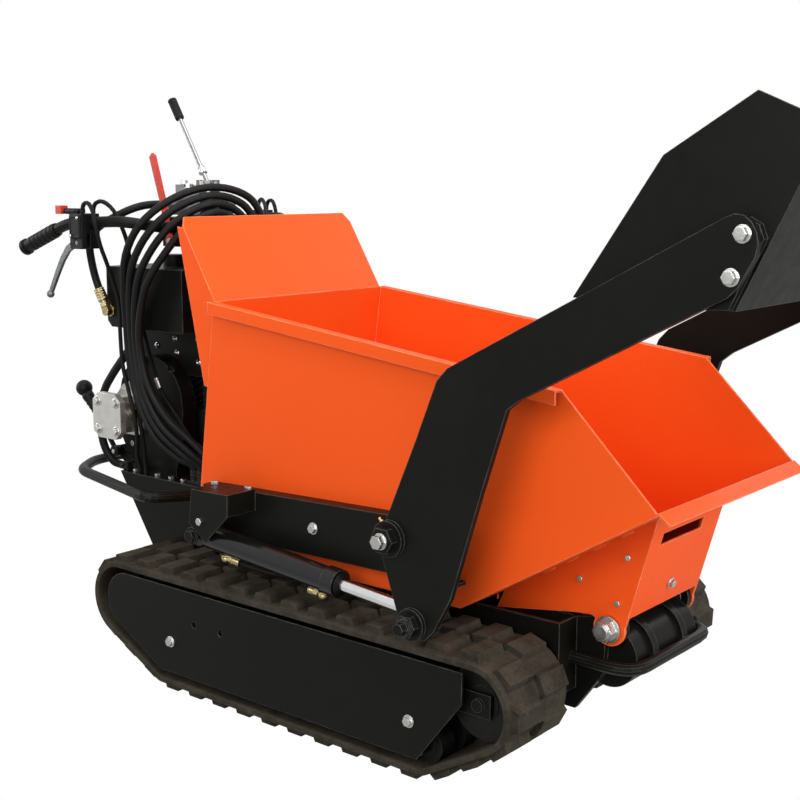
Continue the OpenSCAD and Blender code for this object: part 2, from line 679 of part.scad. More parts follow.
module valve_block() place() {
  color([0.35, 0.35, 0.36]) {
    block(-560, -470, -110, -10, valve_low, valve_low + 46);
    for (y = [-84, -36]) {
      cyl_x(y, valve_low + 23, 17, -590, -560);
      cyl_x(y, valve_low + 23, 15, -470, -452);
    }
    block(-590, -562, -76, -46, valve_low + 46, valve_low + 68);
    block(-562, -540, -80, -40, valve_low + 46, valve_low + 60);
    // bearing ears of the lever's cross piece
    for (x = [lever_x - 26, lever_x + 18]) difference() {
      block(x, x + 8, lever_y - 12, lever_y + 12, valve_low + 46, lever_z + 8);
      cyl_x(lever_y, lever_z, 5 + run_fit, x - 1, x + 9);
    }
  }
}
module valve_gimbal() place() {
  color([0.7, 0.7, 0.68]) difference() {
    union() {
      cyl_x(lever_y, lever_z, 5, lever_x - 26, lever_x + 26);
      block(lever_x - 17, lever_x + 17, lever_y - 11, lever_y + 11, lever_z - 6.5, lever_z + 6.5);
    }
    block(lever_x - 13.5, lever_x + 9, lever_y - 6, lever_y + 6, lever_z - 7, lever_z + 7);
    cyl_y(lever_x, lever_z, 4 + run_fit, lever_y - 12, lever_y + 12);
  }
}
module valve_lever() place() {
  tilt = 31.3;
  translate([lever_x, lever_y, lever_z]) rotate([0, -tilt, 0]) {
    color([0.8, 0.8, 0.82]) {
      cylinder(r = 5, h = valve_lever_len - 50);
      sphere(r = 5.6);
    }
    color([0.04, 0.04, 0.04]) translate([0, 0, valve_lever_len - 50]) cylinder(r = 9, h = 50);
  }
  color([0.8, 0.8, 0.82]) cyl_y(lever_x, lever_z, 4, lever_y - 11, lever_y + 11);
}

// four hoses that rise behind the headboard, arch past the valve and hang down to the deck
hose_routes = [
  [[-402, 18, 950.4], [-402, 18, 964], [-404, 12, 1000], [-416, -12, 1036], [-438, -62, 1056],
    [-462, -122, 1054], [-490, -188, 1026], [-522, -240, 976], [-566, -246, 908], [-598, -228, 830],
    [-613, -212, 750], [-613, -207, 670], [-590, -206, 580], [-536, -204, 500], [-482, -186, 456],
    [-454, -port_y - 3, 436], [-450, -port_y, 411.6]],
  [[-402, -4, 950.4], [-402, -4, 962], [-404, -11, 990], [-413, -33, 1020], [-429, -76, 1038],
    [-448, -126, 1036], [-474, -186, 1008], [-502, -232, 960], [-546, -243, 892], [-577, -230, 818],
    [-591, -218, 746], [-591, -213, 676], [-570, -212, 592], [-518, -208, 516], [-460, -188, 466],
    [-431, -port_y - 3, 438], [-428, -port_y, 411.6]],
  [[-402, -26, 950.4], [-402, -26, 961], [-404, -33, 981], [-410, -52, 1004], [-420, -86, 1020],
    [-434, -130, 1018], [-458, -180, 990], [-484, -221, 944], [-525, -240, 874], [-555, -232, 806],
    [-569, -224, 742], [-569, -219, 680], [-549, -218, 604], [-500, -212, 530], [-440, -188, 476],
    [-409, -port_y - 3, 442], [-406, -port_y, 411.6]],
  [[-402, -48, 950.4], [-402, -48.5, 960], [-403, -55, 974], [-406, -70, 990], [-412, -98, 1002],
    [-421, -134, 999], [-443, -173, 972], [-467, -207, 926], [-504, -236, 856], [-533, -234, 794],
    [-547, -230, 738], [-548, -225, 684], [-528, -222, 616], [-482, -212, 550], [-424, -186, 494],
    [-388, -port_y - 3, 450], [-384, -port_y, 411.6]]
];
module pressure_hoses() place() {
  color([0.06, 0.06, 0.06]) for (P = hose_routes) tube(spline(P, 4), hose_r, [0.7, -0.7, 0], 10);
}
suction_route = [[-652, -160, 727], [-652, -160, 712], [-660, -163, 692], [-684, -171, 660], [-712, -180, 622],
  [-738, -185, 582], [-752, -187, 530], [-752, -187, 480], [-742, -184, 440], [-724, -176, 412],
  [-708, -port_y - 5, 405], [-690.6, -port_y - 5, 405]];
return_route = [[-702, -205, 799], [-708, -206, 811], [-722, -210, 850], [-727, -216, 890], [-724, -222, 925],
  [-712, -224, 950], [-688, -212, 974], [-656, -172, 1002], [-640, -130, 1016], [-620, -94, 1019],
  [-604, -84, 1019], [-590.6, -84, 1019]];
module tank_hoses() place() {
  color([0.06, 0.06, 0.06]) {
    tube(spline(suction_route, 4), 9.5, [0.3, 1, 0.3], 10);
    tube(spline(return_route, 4), 9, [0.7, -0.7, 0], 10);
  }
}
cable_route = [[-660, -256, 1000.6], [-660, -256, 1010], [-653, -254, 1023], [-636, -247, 1026], [-614, -236, 1006],
  [-603, -220, 962], [-602, -208, 920], [-612, -200, 870], [-630, -197, 800], [-634, -197, 730],
  [-626, -195, 640], [-606, -191, 545], [-600, -184, 460], [-602, 4 - chassis_half, 422],
  [-602, 4 - chassis_half, 395.6]];
second_route = [[-660, -286, 1000.6], [-660, -286, 1010], [-653, -286, 1022], [-638, -285, 1022], [-626, -283, 1001],
  [-621, -281, 970], [-622, -270, 930], [-630, -248, 890], [-637, -226, 845], [-638, -213, 800],
  [-637, -212, 740], [-634, -211, 660], [-620, -208, 600], [-604, -207, 545], [-604, -200, 490],
  [-620, -188, 440], [-624, 4 - chassis_half, 420], [-624, 4 - chassis_half, 395.6]];
module control_cables() place() {
  color([0.05, 0.05, 0.05]) both() {
    tube(spline(cable_route, 3), 5, [0.4, 1, 0.2], 8);
    tube(spline(second_route, 3), 5, [0.9, 0.5, 0.2], 8);
  }
}
module hose_fittings() place() {
  color([0.72, 0.55, 0.25]) {
    // port bar behind the headboard
    block(-418, -392, -62, 32, 928, 942);
    for (y = [18, -4, -26, -48]) hex_z(-402, y, 9.8, 942, 950);
    // port block on the deck
    block(-462, -372, -port_y - 12, -port_y + 12, deck_z, 403);
    for (x = [-450, -428, -406, -384]) hex_z(x, -port_y, 10, 403, 411.2);
    // return elbow on the tank's side and suction block on the deck
    rod([-690, -190, 776], [-690, -212, 776], 11);
    rod([-690, -205, 776], [-701.8, -205, 798.6], 8.5);
    block(-690, -674, -port_y - 12, -port_y + 4, deck_z, 416);
  }
}
module chassis_fasteners() place() {
  color([0.75, 0.75, 0.74]) {
    both() {
      // side cover bolts
      for (x = [-304, 344]) {
        cyl_y(x, 112, 12, -cover_out - 2.5, -cover_out);
        hex_y(x, 112, 9, -cover_out - 9, -cover_out - 2.5);
      }
      // hinge washer and nut
      cyl_y(tip_x, tip_z, 25, -pedestal_half - 8, -pedestal_half - pass_gap);
      hex_y(tip_x, tip_z, 20, -pedestal_half - 26, -pedestal_half - 8);
      // deck edge bolts
      for (x = [-650, -572, -524, -482]) hex_z(x, -chassis_half + 15, 8, deck_z, deck_z + 7);
    }
    both() cyl_y(tip_x, tip_z, tip_shaft, -pedestal_half - 32, -pivot_in);
    // bell casing bolts
    for (p = [[-708, 612], [-640, 655], [-690, 455]]) hex_y(p[0], p[1], 7, -146, -140);
    // throttle and red lever pivots
    cyl_z(thumb_x, -273, 4, perch_z + 64, 1013);
    cyl_y(-547, 938, 6, -138, -126);
    // gear lever pivot
    cyl_y(-745, 430, 5, -161, -138);
  }
}

wall = [[rim_rear_x, rim_rear_z], [rim_front_x, rim_front_z], [lip_x, lip_z], [knee_x, floor_z],
  [rear_low_x, floor_z]];
function chute_z(x) = floor_z + (x - knee_x)*chute_slope;
function along_rear(z) = rear_low_x + (rim_rear_x - rear_low_x)*(z - floor_z)/(rim_rear_z - floor_z);
module box_wall()
  plate_xz(wall, -box_half, -box_half + box_sheet);
module dump_box() place() {
  t = box_sheet;
  in_half = box_half - t;
  color([0.95, 0.32, 0.12]) {
    both() {
      box_wall();
      // folded rim: a flat top and a short outer flange
      plate_xz([[rim_rear_x, rim_rear_z], [rim_front_x, rim_front_z],
        [rim_front_x, rim_front_z - t], [rim_rear_x, rim_rear_z - t]], -rim_half, -box_half);
      plate_xz([[rim_rear_x, rim_rear_z - t], [rim_front_x, rim_front_z - t],
        [rim_front_x, rim_front_z - rim_height], [rim_rear_x, rim_rear_z - rim_height]],
        -rim_half, -rim_half + t);
    }
    // floor, rear wall and rising chute
    plate_xz([[rear_low_x, floor_z], [knee_x, floor_z], [knee_x - 1, floor_z + t],
      [along_rear(floor_z + t), floor_z + t]], -in_half, in_half);
    plate_xz([[along_rear(floor_z + t), floor_z + t], [along_rear(floor_z + t) + t + 0.5, floor_z + t],
      [rim_rear_x + t + 0.5, rim_rear_z], [rim_rear_x, rim_rear_z]], -in_half, in_half);
    plate_xz([[knee_x, floor_z], [lip_x, lip_z], [lip_x - 2, lip_z + t], [knee_x - 1, floor_z + t]],
      -in_half, in_half);
    // pouring lip folded down
    plate_xz([[lip_x, lip_z], [lip_x - 10, chute_z(lip_x - 10)], [lip_x - 12, chute_z(lip_x - 12) + t + 1.2],
      [lip_x, lip_z + t + 0.6], [lip_x + 23, lip_z - 13], [lip_x + 19, lip_z - 16]], -box_half, box_half);
  }
}
module headboard() place() {
  // leaning panel with its top corners cut, and a tapering return flange on each side
  len_up = norm([headboard_lean, headboard_rise]);
  tilt = atan2(headboard_lean, headboard_rise);
  color([0.97, 0.36, 0.14]) {
    translate([rim_rear_x, 0, rim_rear_z]) rotate([0, -tilt, 0])
      plate_yz([[-headboard_half, 0.2], [headboard_half, 0.2], [headboard_half, len_up - 24],
        [headboard_half - 14, len_up], [-headboard_half + 14, len_up], [-headboard_half, len_up - 24]], -4, 0);
    both() plate_xz([[rim_rear_x - 4.2, rim_rear_z + 2], [head_x + 9, head_z - 22], [head_x - 6, head_z - 20],
      [along_rear(645) - 14, 645], [along_rear(645) - 0.5, 645], [rim_rear_x - 0.5, rim_rear_z - 0.4]],
      -headboard_half, -headboard_half + 4);
  }
}
module hinge_pedestal() place() {
  t = pedestal_sheet;
  gusset = [[367, 270], [540, 297], [575, 300], [636, 268], [646, 294], [703, chute_z(703) - 0.3],
    [knee_x + 0.4, floor_z - 0.2], [383, floor_z - 0.2]];
  color([0.88, 0.28, 0.1]) {
    both() difference() {
      union() {
        plate_xz(gusset, -pedestal_half, -pedestal_half + t);
        cyl_y(tip_x, tip_z, 32, -pedestal_half, -pedestal_half + t);
      }
      cyl_y(tip_x, tip_z, tip_shaft + run_fit, -pedestal_half - 1, -pedestal_half + t + 1);
    }
    // front plate with its hand slot
    difference() {
      plate_xz([[649.4, 306], [703, chute_z(703) - 0.3], [697, chute_z(697) - 0.3], [643.4, 306]],
        -pedestal_half + t, pedestal_half - t);
      block(660, 720, -92, 62, 440, 462);
    }
    // cheeks and pin for the tipping cylinder
    both() plate_xz([[tip_d[0] - 24, tip_d[1] - 20], [tip_d[0] + 24, tip_d[1] - 20],
      [tip_d[0] + 24, chute_z(tip_d[0] + 24) - 0.3], [tip_d[0] - 24, chute_z(tip_d[0] - 24) - 0.3]], -26, -14);
    cyl_y(tip_d[0], tip_d[1], 9, -30, 30);
  }
}
rail_shape = [[-270, 446], [393, 466], [393, 352], [-270, 344]];
module rail_side() {
  color([0.05, 0.05, 0.05]) {
    plate_xz(rail_shape, -rail_out, -rail_web);
    plate_xz([[-270, 446], [393, 466], [393, 460], [-270, 440]], -rail_web, -box_half);
    plate_xz([[-270, 350], [393, 358], [393, 352], [-270, 344]], -rail_web, -box_half);
    // boss and pin of the arm
    plate_xz([[270, 455], [290, 486], [342, 486], [362, 455]], -rail_out, -rail_web);
    cyl_y(arm_x, arm_z, 30, -arm_inner + pass_gap, -rail_out);
    cyl_y(arm_x, arm_z, arm_pin, -arm_outer - 10, -arm_inner + pass_gap);
    // lock nut on the arm's pin
    hex_y(arm_x, arm_z, 25, -arm_outer - 25, -arm_outer - 9 - pass_gap);
    // rear cylinder pin and its spacers
    cyl_y(lift_pin_x, lift_pin_z, 20, -lift_y + 13, -rail_out);
    cyl_y(lift_pin_x, lift_pin_z, 10, -lift_y - 26, -lift_y + 13);
    cyl_y(lift_pin_x, lift_pin_z, 18, -lift_y - 30, -lift_y - 26);
    hex_y(lift_pin_x, lift_pin_z, 13, -lift_y - 38, -lift_y - 30);
    // hood over the cylinder's tail
    plate_xz([[-221, 456], [-115, 458], [-116, 413], [-183, 350], [-230, 384]], -hood_out, -hood_out + 4);
    plate_xz([[-221, 456], [-115, 458], [-115, 454], [-221, 452]], -hood_out + 4, -rail_out);
    plate_xz([[-119, 454], [-115, 454], [-116, 413], [-120, 413]], -hood_out + 4, -rail_out);
  }
}
module loader_rail_right() place() rail_side();
module loader_rail_left() place() mirror([0, 1, 0]) rail_side();
module box_fasteners() place() {
  color([0.75, 0.75, 0.74]) both() {
    cyl_y(46, 403, 12, -rail_out - 2.5, -rail_out);
    hex_y(46, 403, 9, -rail_out - 9, -rail_out - 2.5);
    for (p = [[-212, -318], [-124, -308]]) hex_z(p[0], p[1], 8, 456.2 + (p[0] + 221)*0.0189, 464);
    for (p = [[550, 362], [647, 419], [628, 331]]) hex_y(p[0], p[1], 6, -pedestal_half - 4, -pedestal_half);
    hex_y(-196, 392, 8, -hood_out - 6, -hood_out);
    // arm pin end
    cyl_y(arm_x, arm_z, 15, -arm_outer - 28, -arm_outer - 25);
    hex_y(arm_x, arm_z, 13, -arm_outer - 40, -arm_outer - 28);
  }
  // bolt in the middle of the pedestal's front plate
  color([0.75, 0.75, 0.74]) translate([660.3, 0, 345]) rotate([0, 90 + 15.7, 0]) {
    cylinder(r = 11, h = 2.5);
    translate([0, 0, 2.5]) cylinder(r = 8.5, h = 6.5, $fn = 6);
  }
}

arm_shape = [[288, 440], [373, 632], [418, 740], [440, 763],
  [925, 1019], [940, 1025], [954, 1023], [966, 1014], [974, 1000], [977, 984], [973, 964],
  [949, 922], [934, 906], [920, 899], [585, 724], [561, 705], [511, 557], [450, 365], [413, 298],
  [394, 279], [358, 279], [338, 300]];
bolt_a = [954, 997];
bolt_b = [939, 936];
module arm_side() {
  color([0.05, 0.05, 0.05]) difference() {
    union() {
      plate_xz(arm_shape, -arm_outer, -arm_inner);
      cyl_y(arm_x, arm_z, 33, -arm_outer - 9, -arm_outer);
      cyl_y(rod_x, rod_z, 29, -arm_outer - 8, -arm_outer);
    }
    cyl_y(arm_x, arm_z, arm_pin + run_fit, -arm_outer - 10, -arm_inner + 1);
    cyl_y(rod_x, rod_z, rod_pin, -arm_outer - 9, -arm_inner + 1);
    for (p = [bolt_a, bolt_b]) cyl_y(p[0], p[1], 8, -arm_outer - 1, -arm_inner + 1);
  }
}
module arm_right() place() arm_side();
module arm_left() place() mirror([0, 1, 0]) arm_side();
module loader_pins() place() {
  color([0.1, 0.1, 0.1]) both() {
    cyl_y(rod_x, rod_z, rod_pin, -arm_outer - 8, -lift_y + 16);
    hex_y(rod_x, rod_z, 21, -arm_outer - 22, -arm_outer - 8);
    cyl_y(rod_x, rod_z, 15, -arm_outer - 27, -arm_outer - 22);
    hex_y(rod_x, rod_z, 12, -arm_outer - 42, -arm_outer - 27);
    cyl_y(rod_x, rod_z, 15, -lift_y + 16, -lift_y + 24);
  }
}
module shovel_bolts() place() {
  color([0.75, 0.75, 0.74]) both() for (p = [bolt_a, bolt_b]) {
    cyl_y(p[0], p[1], 8, -arm_outer, -shovel_half + shovel_sheet);
    cyl_y(p[0], p[1], 13.5, -arm_outer - 3, -arm_outer);
    hex_y(p[0], p[1], 11, -arm_outer - 12, -arm_outer - 3);
    hex_y(p[0], p[1], 13, -shovel_half + shovel_sheet, -shovel_half + shovel_sheet + 10);
  }
}
function in_shovel(u, w) = [
  heel_x + u*cos(shovel_angle) - w*sin(shovel_angle),
  heel_z + u*sin(shovel_angle) + w*cos(shovel_angle)];
module shovel() place() {
  t = shovel_sheet;
  d = shovel_depth;
  side = [for (p = [[0, 0], [d, 0], [d - 3, 115], [146, 206], [-112, 247]]) in_shovel(p[0], p[1])];
  ply = [for (p = [[0, 0], [d, 0], [d, t], [4, t]]) in_shovel(p[0], p[1])];
  back = [for (p = [[0, 0], [4, t], [-107, 249], [-112, 247]]) in_shovel(p[0], p[1])];
  edge = [for (p = [[d, 0], [d + 22, 0], [d + 18, 5], [d, 10]]) in_shovel(p[0], p[1])];
  lug = [for (p = [[-30, 60], [0, 6], [112, 6], [127, 22], [128, 42], [112, 62], [40, 88]]) in_shovel(p[0], p[1])];
  color([0.06, 0.06, 0.06]) {
    both() difference() {
      union() {
        plate_xz(side, -shovel_half, -shovel_half + t);
        plate_xz(lug, -arm_inner, -shovel_half);
      }
      for (p = [bolt_a, bolt_b]) cyl_y(p[0], p[1], 8, -arm_inner - 1, -shovel_half + t + 1);
    }
    plate_xz(ply, -shovel_half + t, shovel_half - t);
    plate_xz(back, -shovel_half + t, shovel_half - t);
    plate_xz(edge, -shovel_half, shovel_half);
  }
}

module lift_at(y) translate([lift_pin_x, y, lift_pin_z]) rotate([0, -lift_dir, 0]) children();
module lift_barrels() place() {
  color([0.05, 0.05, 0.05]) for (y = [-lift_y, lift_y]) lift_at(y) difference() {
    union() {
      cyl_y(0, 0, 24, -12, 12);
      cyl_x(0, 0, lift_barrel_r, 30, 385);
      cyl_x(0, 0, 20, 21.5, 30);
      cyl_x(0, 0, lift_barrel_r + 3, 355, 385);
      // ports with their elbows
      for (e = [[75, 92], [328, 345]]) {
        cyl_z(e[0] < 200 ? e[0] : e[1], 0, 9, port_drop - 7, 0);
        cyl_x(0, port_drop, 7, e[0], e[1]);
      }
    }
    cyl_y(0, 0, 10 + run_fit, -13, 13);
    cyl_x(0, 0, lift_rod_r + run_fit, 70, 386);
  }
}
port_drop = -lift_barrel_r - 8;
lift_hose_rear = [[92.6, 0, port_drop], [106, 0, port_drop], [150, 9, port_drop - 3], [194, 22, port_drop - 6],
  [222, 42, port_drop - 6], [230, 64, port_drop - 5]];
lift_hose_front = [[327.4, 0, port_drop], [314, 0, port_drop], [294, 9, port_drop - 3], [272, 26, port_drop - 6],
  [257, 44, port_drop - 6], [252, 64, port_drop - 5]];
module lift_hoses() place() {
  color([0.06, 0.06, 0.06]) both() lift_at(-lift_y) {
    tube(spline(lift_hose_rear, 3), 6.5, [1, -1, 1], 10);
    tube(spline(lift_hose_front, 3), 6.5, [-1, -1, 1], 10);
  }
}
module lift_rods() place() {
  color([0.75, 0.76, 0.78]) for (y = [-lift_y, lift_y]) lift_at(y) {
    cyl_x(0, 0, lift_rod_r, 235, lift_len - 36);
    // slotted end plate that the arm's lower pin rides in
    difference() {
      plate_xz([[lift_len - 44, -16], [lift_len - 30, -24], [lift_len + 14, -24], [lift_len + 22, -16],
        [lift_len + 22, 70], [lift_len + 12, 78], [lift_len - 28, 78], [lift_len - 38, 70],
        [lift_len - 38, 30], [lift_len - 44, 20]], -8, 8);
      plate_xz([[lift_len - 24, -17], [lift_len + 10, -17], [lift_len + 14, -12], [lift_len + 14, 62],
        [lift_len + 8, 69], [lift_len - 22, 69], [lift_len - 29, 62], [lift_len - 29, -12]], -9, 9);
    }
  }
}
module tip_at() translate([tip_c[0], 0, tip_c[1]]) rotate([0, -tip_dir, 0]) children();
module tip_barrel() place() {
  color([0.05, 0.05, 0.05]) tip_at() {
    difference() {
      union() {
        cyl_x(0, 0, tip_barrel_r, 0, 285);
        cyl_x(0, 0, tip_barrel_r + 3, 265, 285);
        cyl_y(0, 0, 20, -32, 32);
      }
      cyl_x(0, 0, tip_rod_r + run_fit, 90, 286);
    }
    cyl_y(0, 0, 11, -44, -32);
    cyl_y(0, 0, 11, 32, 44);
  }
}
module tip_rod() place() {
  color([0.75, 0.76, 0.78]) tip_at() {
    cyl_x(0, 0, tip_rod_r, 110, tip_len - 64);
    difference() {
      plate_xz([[tip_len - 66, -15], [tip_len - 20, -15], [tip_len + 4, -42], [tip_len + 40, -42],
        [tip_len + 46, -10], [tip_len + 6, 44], [tip_len - 36, 44], [tip_len - 66, 15]], -10, 10);
      plate_xz([[tip_len + 6, -31], [tip_len + 30, -31], [tip_len + 34, -12], [tip_len - 2, 34],
        [tip_len - 28, 34], [tip_len - 32, 12]], -11, 11);
    }
  }
}

chassis_frame();
tube_guards();
track_frame_right();
track_frame_left();
track_belt_right();
track_belt_left();
drive_sprocket_right();
drive_sprocket_left();
idler_right();
idler_left();
roller_right_rear();
roller_right_mid();
roller_right_front();
roller_left_rear();
roller_left_mid();
roller_left_front();
gearbox();
engine_block();
engine_shroud();
muffler();
air_filter();
fuel_tank();
recoil_handle();
bell_casing();
gear_pump();
gear_lever();
oil_tank();
oil_cap();
control_console();
handlebar();
hand_grips();
lever_perches();
steer_lever_right();
steer_lever_left();
throttle_lever();
clutch_lever();
valve_block();
valve_gimbal();
valve_lever();
pressure_hoses();
tank_hoses();
control_cables();
hose_fittings();
chassis_fasteners();
dump_box();
headboard();
hinge_pedestal();
loader_rail_right();
loader_rail_left();
box_fasteners();
arm_right();
arm_left();
shovel();
loader_pins();
shovel_bolts();
lift_barrels();
lift_hoses();
lift_rods();
tip_barrel();
tip_rod();
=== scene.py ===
import json
import math

import bmesh
import bpy
from mathutils import Matrix, Vector


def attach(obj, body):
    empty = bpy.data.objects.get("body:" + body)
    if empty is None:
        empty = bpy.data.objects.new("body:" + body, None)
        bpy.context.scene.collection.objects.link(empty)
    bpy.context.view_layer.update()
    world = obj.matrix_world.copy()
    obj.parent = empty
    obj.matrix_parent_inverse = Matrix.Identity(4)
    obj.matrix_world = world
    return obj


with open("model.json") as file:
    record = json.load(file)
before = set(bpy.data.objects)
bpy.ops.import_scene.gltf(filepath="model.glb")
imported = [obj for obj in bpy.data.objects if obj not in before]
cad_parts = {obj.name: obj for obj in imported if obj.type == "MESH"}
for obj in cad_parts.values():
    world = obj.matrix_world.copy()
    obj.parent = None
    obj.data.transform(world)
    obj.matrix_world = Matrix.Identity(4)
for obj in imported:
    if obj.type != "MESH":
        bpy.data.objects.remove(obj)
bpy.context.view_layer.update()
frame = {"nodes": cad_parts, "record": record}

NODES = frame["nodes"]

# The carrier's foremost and rearmost points, in the source's millimetres:
# the frame's origin lies under the middle between them
SHOVEL_HEEL, SHOVEL_DEPTH, CUTTING_EDGE = 937, 288, 22
SHOVEL_ANGLE = math.radians(64.4)
SHOVEL_FRONT = SHOVEL_HEEL + (SHOVEL_DEPTH + CUTTING_EDGE) * math.cos(SHOVEL_ANGLE)
GEAR_KNOB_END = -882
MIDDLE_X = (SHOVEL_FRONT + GEAR_KNOB_END) / 2

SIDES = (-1, 1)
UPWARD = Vector((0, 0, 1))
FORWARD = Vector((1, 0, 0))
REARWARD = Vector((-1, 0, 0))
RIGHTWARD = Vector((0, -1, 0))


def spot(x, y, z):
    """A point of the source, in millimetres, as metres in the frame."""
    return Vector(((x - MIDDLE_X) / 1000, y / 1000, z / 1000))


# Shader node groups that the finishes share


def node(tree, kind, links=(), **values):
    """A node with its settings, and with a link or a value on each socket that is given."""
    made = tree.nodes.new(kind)
    for key, value in values.items():
        setattr(made, key, value)
    for socket, source in links:
        if isinstance(source, bpy.types.NodeSocket):
            tree.links.new(source, made.inputs[socket])
        else:
            made.inputs[socket].default_value = source
    return made


def calc(tree, operation, first, second):
    return node(tree, "ShaderNodeMath", [(0, first), (1, second)], operation=operation).outputs[0]


def noise(tree, place, scale, detail=4.0, rough=0.55):
    links = [("Vector", place), ("Scale", scale), ("Detail", detail), ("Roughness", rough)]
    return node(tree, "ShaderNodeTexNoise", links).outputs["Fac"]


def ramp(tree, value, low, high):
    links = [("Value", value), ("From Min", low), ("From Max", high)]
    return node(tree, "ShaderNodeMapRange", links, clamp=True).outputs["Result"]


def blend(tree, share, under, over):
    links = [(0, share), (6, under), (7, over)]
    return node(tree, "ShaderNodeMix", links, data_type="RGBA").outputs[2]


def object_place(tree):
    return node(tree, "ShaderNodeTexCoord").outputs["Object"]


def new_group(name, inputs, outputs):
    """An empty node group with its named sockets, and its inner input and output nodes."""
    group = bpy.data.node_groups.new(name, "ShaderNodeTree")
    for label, kind, default in inputs:
        socket = group.interface.new_socket(label, in_out="INPUT", socket_type=kind)
        socket.default_value = default
    for label, kind in outputs:
        group.interface.new_socket(label, in_out="OUTPUT", socket_type=kind)
    return group, group.nodes.new("NodeGroupInput"), group.nodes.new("NodeGroupOutput")


def edge_highlight_group():
    """Finds edges by how far the rounded normal leans from the flat one, and puts out both: the mask
    of a painted highlight along the edges, and the rounded normal.
    """
    group, given, result = new_group(
        "painted_edge_highlight", [("Radius", "NodeSocketFloat", 0.002)],
        [("Mask", "NodeSocketFloat"), ("Normal", "NodeSocketVector")])
    highlight_starts, highlight_full = 0.01, 0.16
    bevel = node(group, "ShaderNodeBevel", [("Radius", given.outputs["Radius"])], samples=4)
    rounded = bevel.outputs["Normal"]
    flat = node(group, "ShaderNodeNewGeometry").outputs["Normal"]
    match = node(group, "ShaderNodeVectorMath", [(0, rounded), (1, flat)], operation="DOT_PRODUCT")
    lean = calc(group, "SUBTRACT", 1.0, match.outputs["Value"])
    group.links.new(ramp(group, lean, highlight_starts, highlight_full), result.inputs["Mask"])
    group.links.new(rounded, result.inputs["Normal"])
    return group


def skin_group():
    """Broad colour drift, fine grain and smudges of a surface."""
    group, given, result = new_group(
        "skin",
        [("Base", "NodeSocketColor", (0.5, 0.5, 0.5, 1)),
         ("Tint", "NodeSocketColor", (0.4, 0.4, 0.4, 1)),
         ("Drift", "NodeSocketFloat", 6.0), ("Grain", "NodeSocketFloat", 700.0),
         ("Amount", "NodeSocketFloat", 0.5)],
        [("Color", "NodeSocketColor"), ("Grain", "NodeSocketFloat"), ("Smudge", "NodeSocketFloat")])
    place = object_place(group)
    drift_low, drift_high = 0.35, 0.7
    grain_detail = 2.0
    smudge_scale, smudge_detail, smudge_rough = 38.0, 6.0, 0.65
    broad = ramp(group, noise(group, place, given.outputs["Drift"]), drift_low, drift_high)
    share = calc(group, "MULTIPLY", broad, given.outputs["Amount"])
    color = blend(group, share, given.outputs["Base"], given.outputs["Tint"])
    group.links.new(color, result.inputs["Color"])
    grain = noise(group, place, given.outputs["Grain"], grain_detail)
    group.links.new(grain, result.inputs["Grain"])
    smudge = noise(group, place, smudge_scale, smudge_detail, smudge_rough)
    group.links.new(smudge, result.inputs["Smudge"])
    return group


def dust_group():
    """Specks of dry dust, a little denser where a face looks up."""
    group, given, result = new_group(
        "dust", [("Amount", "NodeSocketFloat", 0.5)], [("Mask", "NodeSocketFloat")])
    place = object_place(group)
    normal = node(group, "ShaderNodeNewGeometry").outputs["Normal"]
    up = node(group, "ShaderNodeSeparateXYZ", [(0, normal)]).outputs["Z"]
    patch_scale, patch_detail, patch_rough, patch_share = 22.0, 8.0, 0.7, 0.8
    speck_scale, speck_share, upward_share = 160.0, 0.35, 0.06
    dust_starts, dust_full = 0.5, 0.78
    spread = noise(group, place, patch_scale, patch_detail, patch_rough)
    patches = calc(group, "MULTIPLY", spread, patch_share)
    specks = calc(group, "MULTIPLY", noise(group, place, speck_scale), speck_share)
    settled = calc(group, "MULTIPLY", up, upward_share)
    lying = calc(group, "ADD", calc(group, "ADD", patches, specks), settled)
    dusty = ramp(group, lying, dust_starts, dust_full)
    mask = calc(group, "MULTIPLY", dusty, given.outputs["Amount"])
    group.links.new(mask, result.inputs["Mask"])
    return group


EDGE_HIGHLIGHT = edge_highlight_group()
SKIN = skin_group()
DUST = dust_group()


# Finishes, by the names of the record's material slots

FINISH = {}

# The smudge values between which a finish goes from its glossiest to its dullest,
# and between which its painted edge highlights go from none to full
GLOSS_SMUDGE = (0.3, 0.7)
HIGHLIGHT_SMUDGE = (0.25, 0.6)


def placed(tree, group, **inputs):
    """A shared group placed in a finish, with that finish's own values."""
    made = node(tree, "ShaderNodeGroup", node_tree=group)
    for key, value in inputs.items():
        made.inputs[key].default_value = value
    return made.outputs


def opaque(color):
    return (*color, 1)


